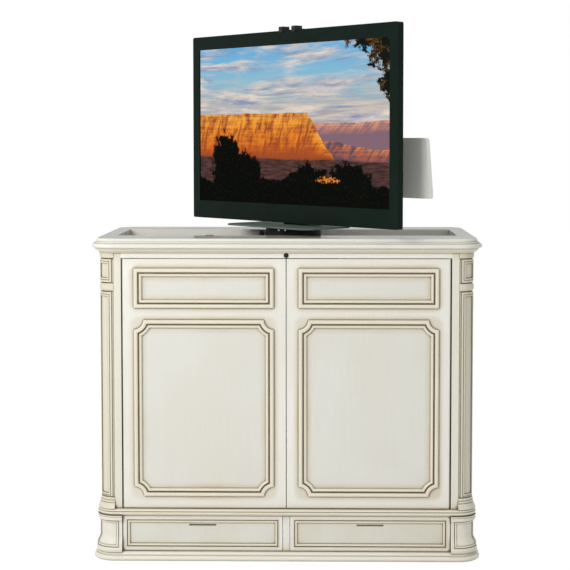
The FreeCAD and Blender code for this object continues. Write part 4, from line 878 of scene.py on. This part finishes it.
def socket_panel():
    """A rimmed tray on the television's back with four flat sockets over eight round ones."""
    spots = turned_frame()
    flat_count, round_count = 4, 8
    low_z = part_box("tv_chassis")[0].z
    x0, x1, z0, z1 = 0.16, 0.42, low_z + 0.060, low_z + 0.150
    rim, rim_top, floor_top = 0.005, TV_BACK + 0.0042, TV_BACK + 0.0012
    flat_x, flat_pitch, flat_z = 0.180, 0.030, low_z + 0.115
    flat_width, flat_height, flat_wall, flat_top = 0.019, 0.0072, 0.0012, TV_BACK + 0.0038
    round_x, round_pitch, round_z = 0.184, 0.029, low_z + 0.085
    jack = [(0.0052, 0.0), (0.0052, 0.0022), (0.0044, 0.0030), (0.0030, 0.0030), (0.0028, 0.0008)]

    def tray(bm):
        for left, right, bottom, top, face in (
                (x0, x1, z0, z0 + rim, rim_top), (x0, x1, z1 - rim, z1, rim_top),
                (x0, x0 + rim, z0 + rim, z1 - rim, rim_top), (x1 - rim, x1, z0 + rim, z1 - rim, rim_top),
                (x0 + rim, x1 - rim, z0 + rim, z1 - rim, floor_top)):
            bar(bm, (left, TV_BACK, bottom), (right, face, top), spots)

    def sockets(bm):
        sides = ((0, flat_width, 0, flat_wall), (0, flat_width, flat_height - flat_wall, flat_height),
                 (0, flat_wall, flat_wall, flat_height - flat_wall),
                 (flat_width - flat_wall, flat_width, flat_wall, flat_height - flat_wall))
        for k in range(flat_count):
            x = flat_x + flat_pitch * k
            for left, right, bottom, top in sides:
                low, high = (x + left, floor_top, flat_z + bottom), (x + right, flat_top, flat_z + top)
                bar(bm, low, high, spots, edge=0.0002)
        for k in range(round_count):
            place = (round_x + round_pitch * k, floor_top, round_z)
            spun(bm, jack, spots @ facing(place, BACKWARD), sides=20)

    new_piece("tv_socket_tray", tray, "television", "black_plastic")
    new_piece("tv_sockets", sockets, "television", "chassis_metal")


def television_screws():
    """The wall fixings, the shell's screws, the post's bolts and the rear cover's screws."""
    fixing_x, fixing_rises = 0.20, (0.20, 0.40)
    shell_xs, shell_rise, shell_drop = (-0.495, -0.17, 0.17, 0.495), 0.030, 0.038
    post_xs, post_y, post_plate = (-0.030, 0.0, 0.030), 0.079, 0.006
    cover_x, cover_y, cover_rises = 0.0235, 0.154, (0.040, 0.184)
    low_z, high_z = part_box("tv_chassis")[0].z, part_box("tv_chassis")[1].z
    post_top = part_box("tv_foot")[1].z + post_plate
    cover_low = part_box("rear_cover")[0].z
    fixings = on_wall((-fixing_x, fixing_x), TV_BACK, [low_z + rise for rise in fixing_rises])
    shell = on_wall(shell_xs, TV_BACK, (low_z + shell_rise, high_z - shell_drop))
    post = on_wall(post_xs, post_y, (post_top,))
    cover = on_wall((-cover_x, cover_x), cover_y, [cover_low + rise for rise in cover_rises])
    for name, places, direction, radius, slot in (
            ("tv_fixings", fixings, BACKWARD, 0.0062, "bright_steel"),
            ("tv_shell_screws", shell, BACKWARD, 0.0040, "black_metal"),
            ("post_bolts", post, UPWARD, 0.0052, "bright_steel"),
            ("cover_screws", cover, BACKWARD, 0.0055, "bright_steel")):
        screw_heads(name, places, direction, radius, "television", slot, turned_frame())


# ---- studio ---------------------------------------------------------------------
def room():
    """Even light all round, with plain white where the camera, gloss or glass looks at it."""
    g = Graph("studio", "worlds")
    path = g.add("ShaderNodeLightPath").outputs
    reflected = g.math("MAXIMUM", path["Is Glossy Ray"], path["Is Transmission Ray"])
    seen = g.math("MAXIMUM", path["Is Camera Ray"], reflected)
    lit = g.add("ShaderNodeBackground", {"Color": ROOM_TONE, "Strength": ROOM_STRENGTH})
    shown = g.add("ShaderNodeBackground", {"Color": grey(1.0), "Strength": 1.0})
    SCENE.world = g.show(g.blended(seen, lit, shown), "ShaderNodeOutputWorld")


def lamp(name, place, target, size, watts, colour):
    """A soft rectangular lamp aimed at a target."""
    data = bpy.data.lights.new(name, "AREA")
    data.shape = "RECTANGLE"
    data.size, data.size_y = size
    data.energy = watts
    data.color = colour
    light = bpy.data.objects.new(name, data)
    light.location = place
    light.rotation_euler = (Vector(target) - Vector(place)).to_track_quat("-Z", "Y").to_euler()
    SCENE.collection.objects.link(light)


def floor():
    """A pale floor that the camera sees nearly white, with the object's shadow on it."""
    g = Graph("studio_floor")
    path = g.add("ShaderNodeLightPath").outputs
    seen = g.math("MAXIMUM", path["Is Camera Ray"], path["Is Glossy Ray"])
    matte = g.add("ShaderNodeBsdfDiffuse", {"Color": grey(FLOOR_TONE)})
    white = g.add("ShaderNodeEmission", {"Color": grey(1.0), "Strength": FLOOR_WHITE})
    look = g.show(g.blended(g.math("MULTIPLY", seen, FLOOR_WHITE_SHARE), matte, white))

    def edit(bm):
        bmesh.ops.create_grid(bm, x_segments=8, y_segments=8, size=FLOOR_REACH)

    plane = new_object("studio_floor", edit, look)
    plane.location = (0, 0, -FLOOR_DROP)


def camera():
    """The photograph's camera."""
    data = bpy.data.cameras.new("camera")
    data.sensor_width = SENSOR_MM
    data.lens = CAMERA_FOCAL_PX / FRAME_PX * SENSOR_MM
    data.shift_x = (FRAME_PX / 2 - PRINCIPAL_PX[0]) / FRAME_PX
    data.shift_y = (PRINCIPAL_PX[1] - FRAME_PX / 2) / FRAME_PX
    data.clip_end = CAMERA_CLIP
    eye = bpy.data.objects.new("camera", data)
    eye.location = CAMERA_PLACE
    eye.rotation_euler = (math.radians(CAMERA_TILT), 0, math.radians(CAMERA_YAW))
    SCENE.collection.objects.link(eye)
    SCENE.camera = eye


SCENE.view_settings.view_transform = "Standard"
dress_cad()
screen_panel()
back_screws()
outlet_screws()
plate_bolts()
outlet_brush()
finger_cups()
arm_bolts()
turn_switch()
trip()
opening_pad()
louvres()
socket_panel()
television_screws()
room()
for lamp_name, lamp_values in LAMPS.items():
    lamp(lamp_name, *lamp_values)
floor()
camera()
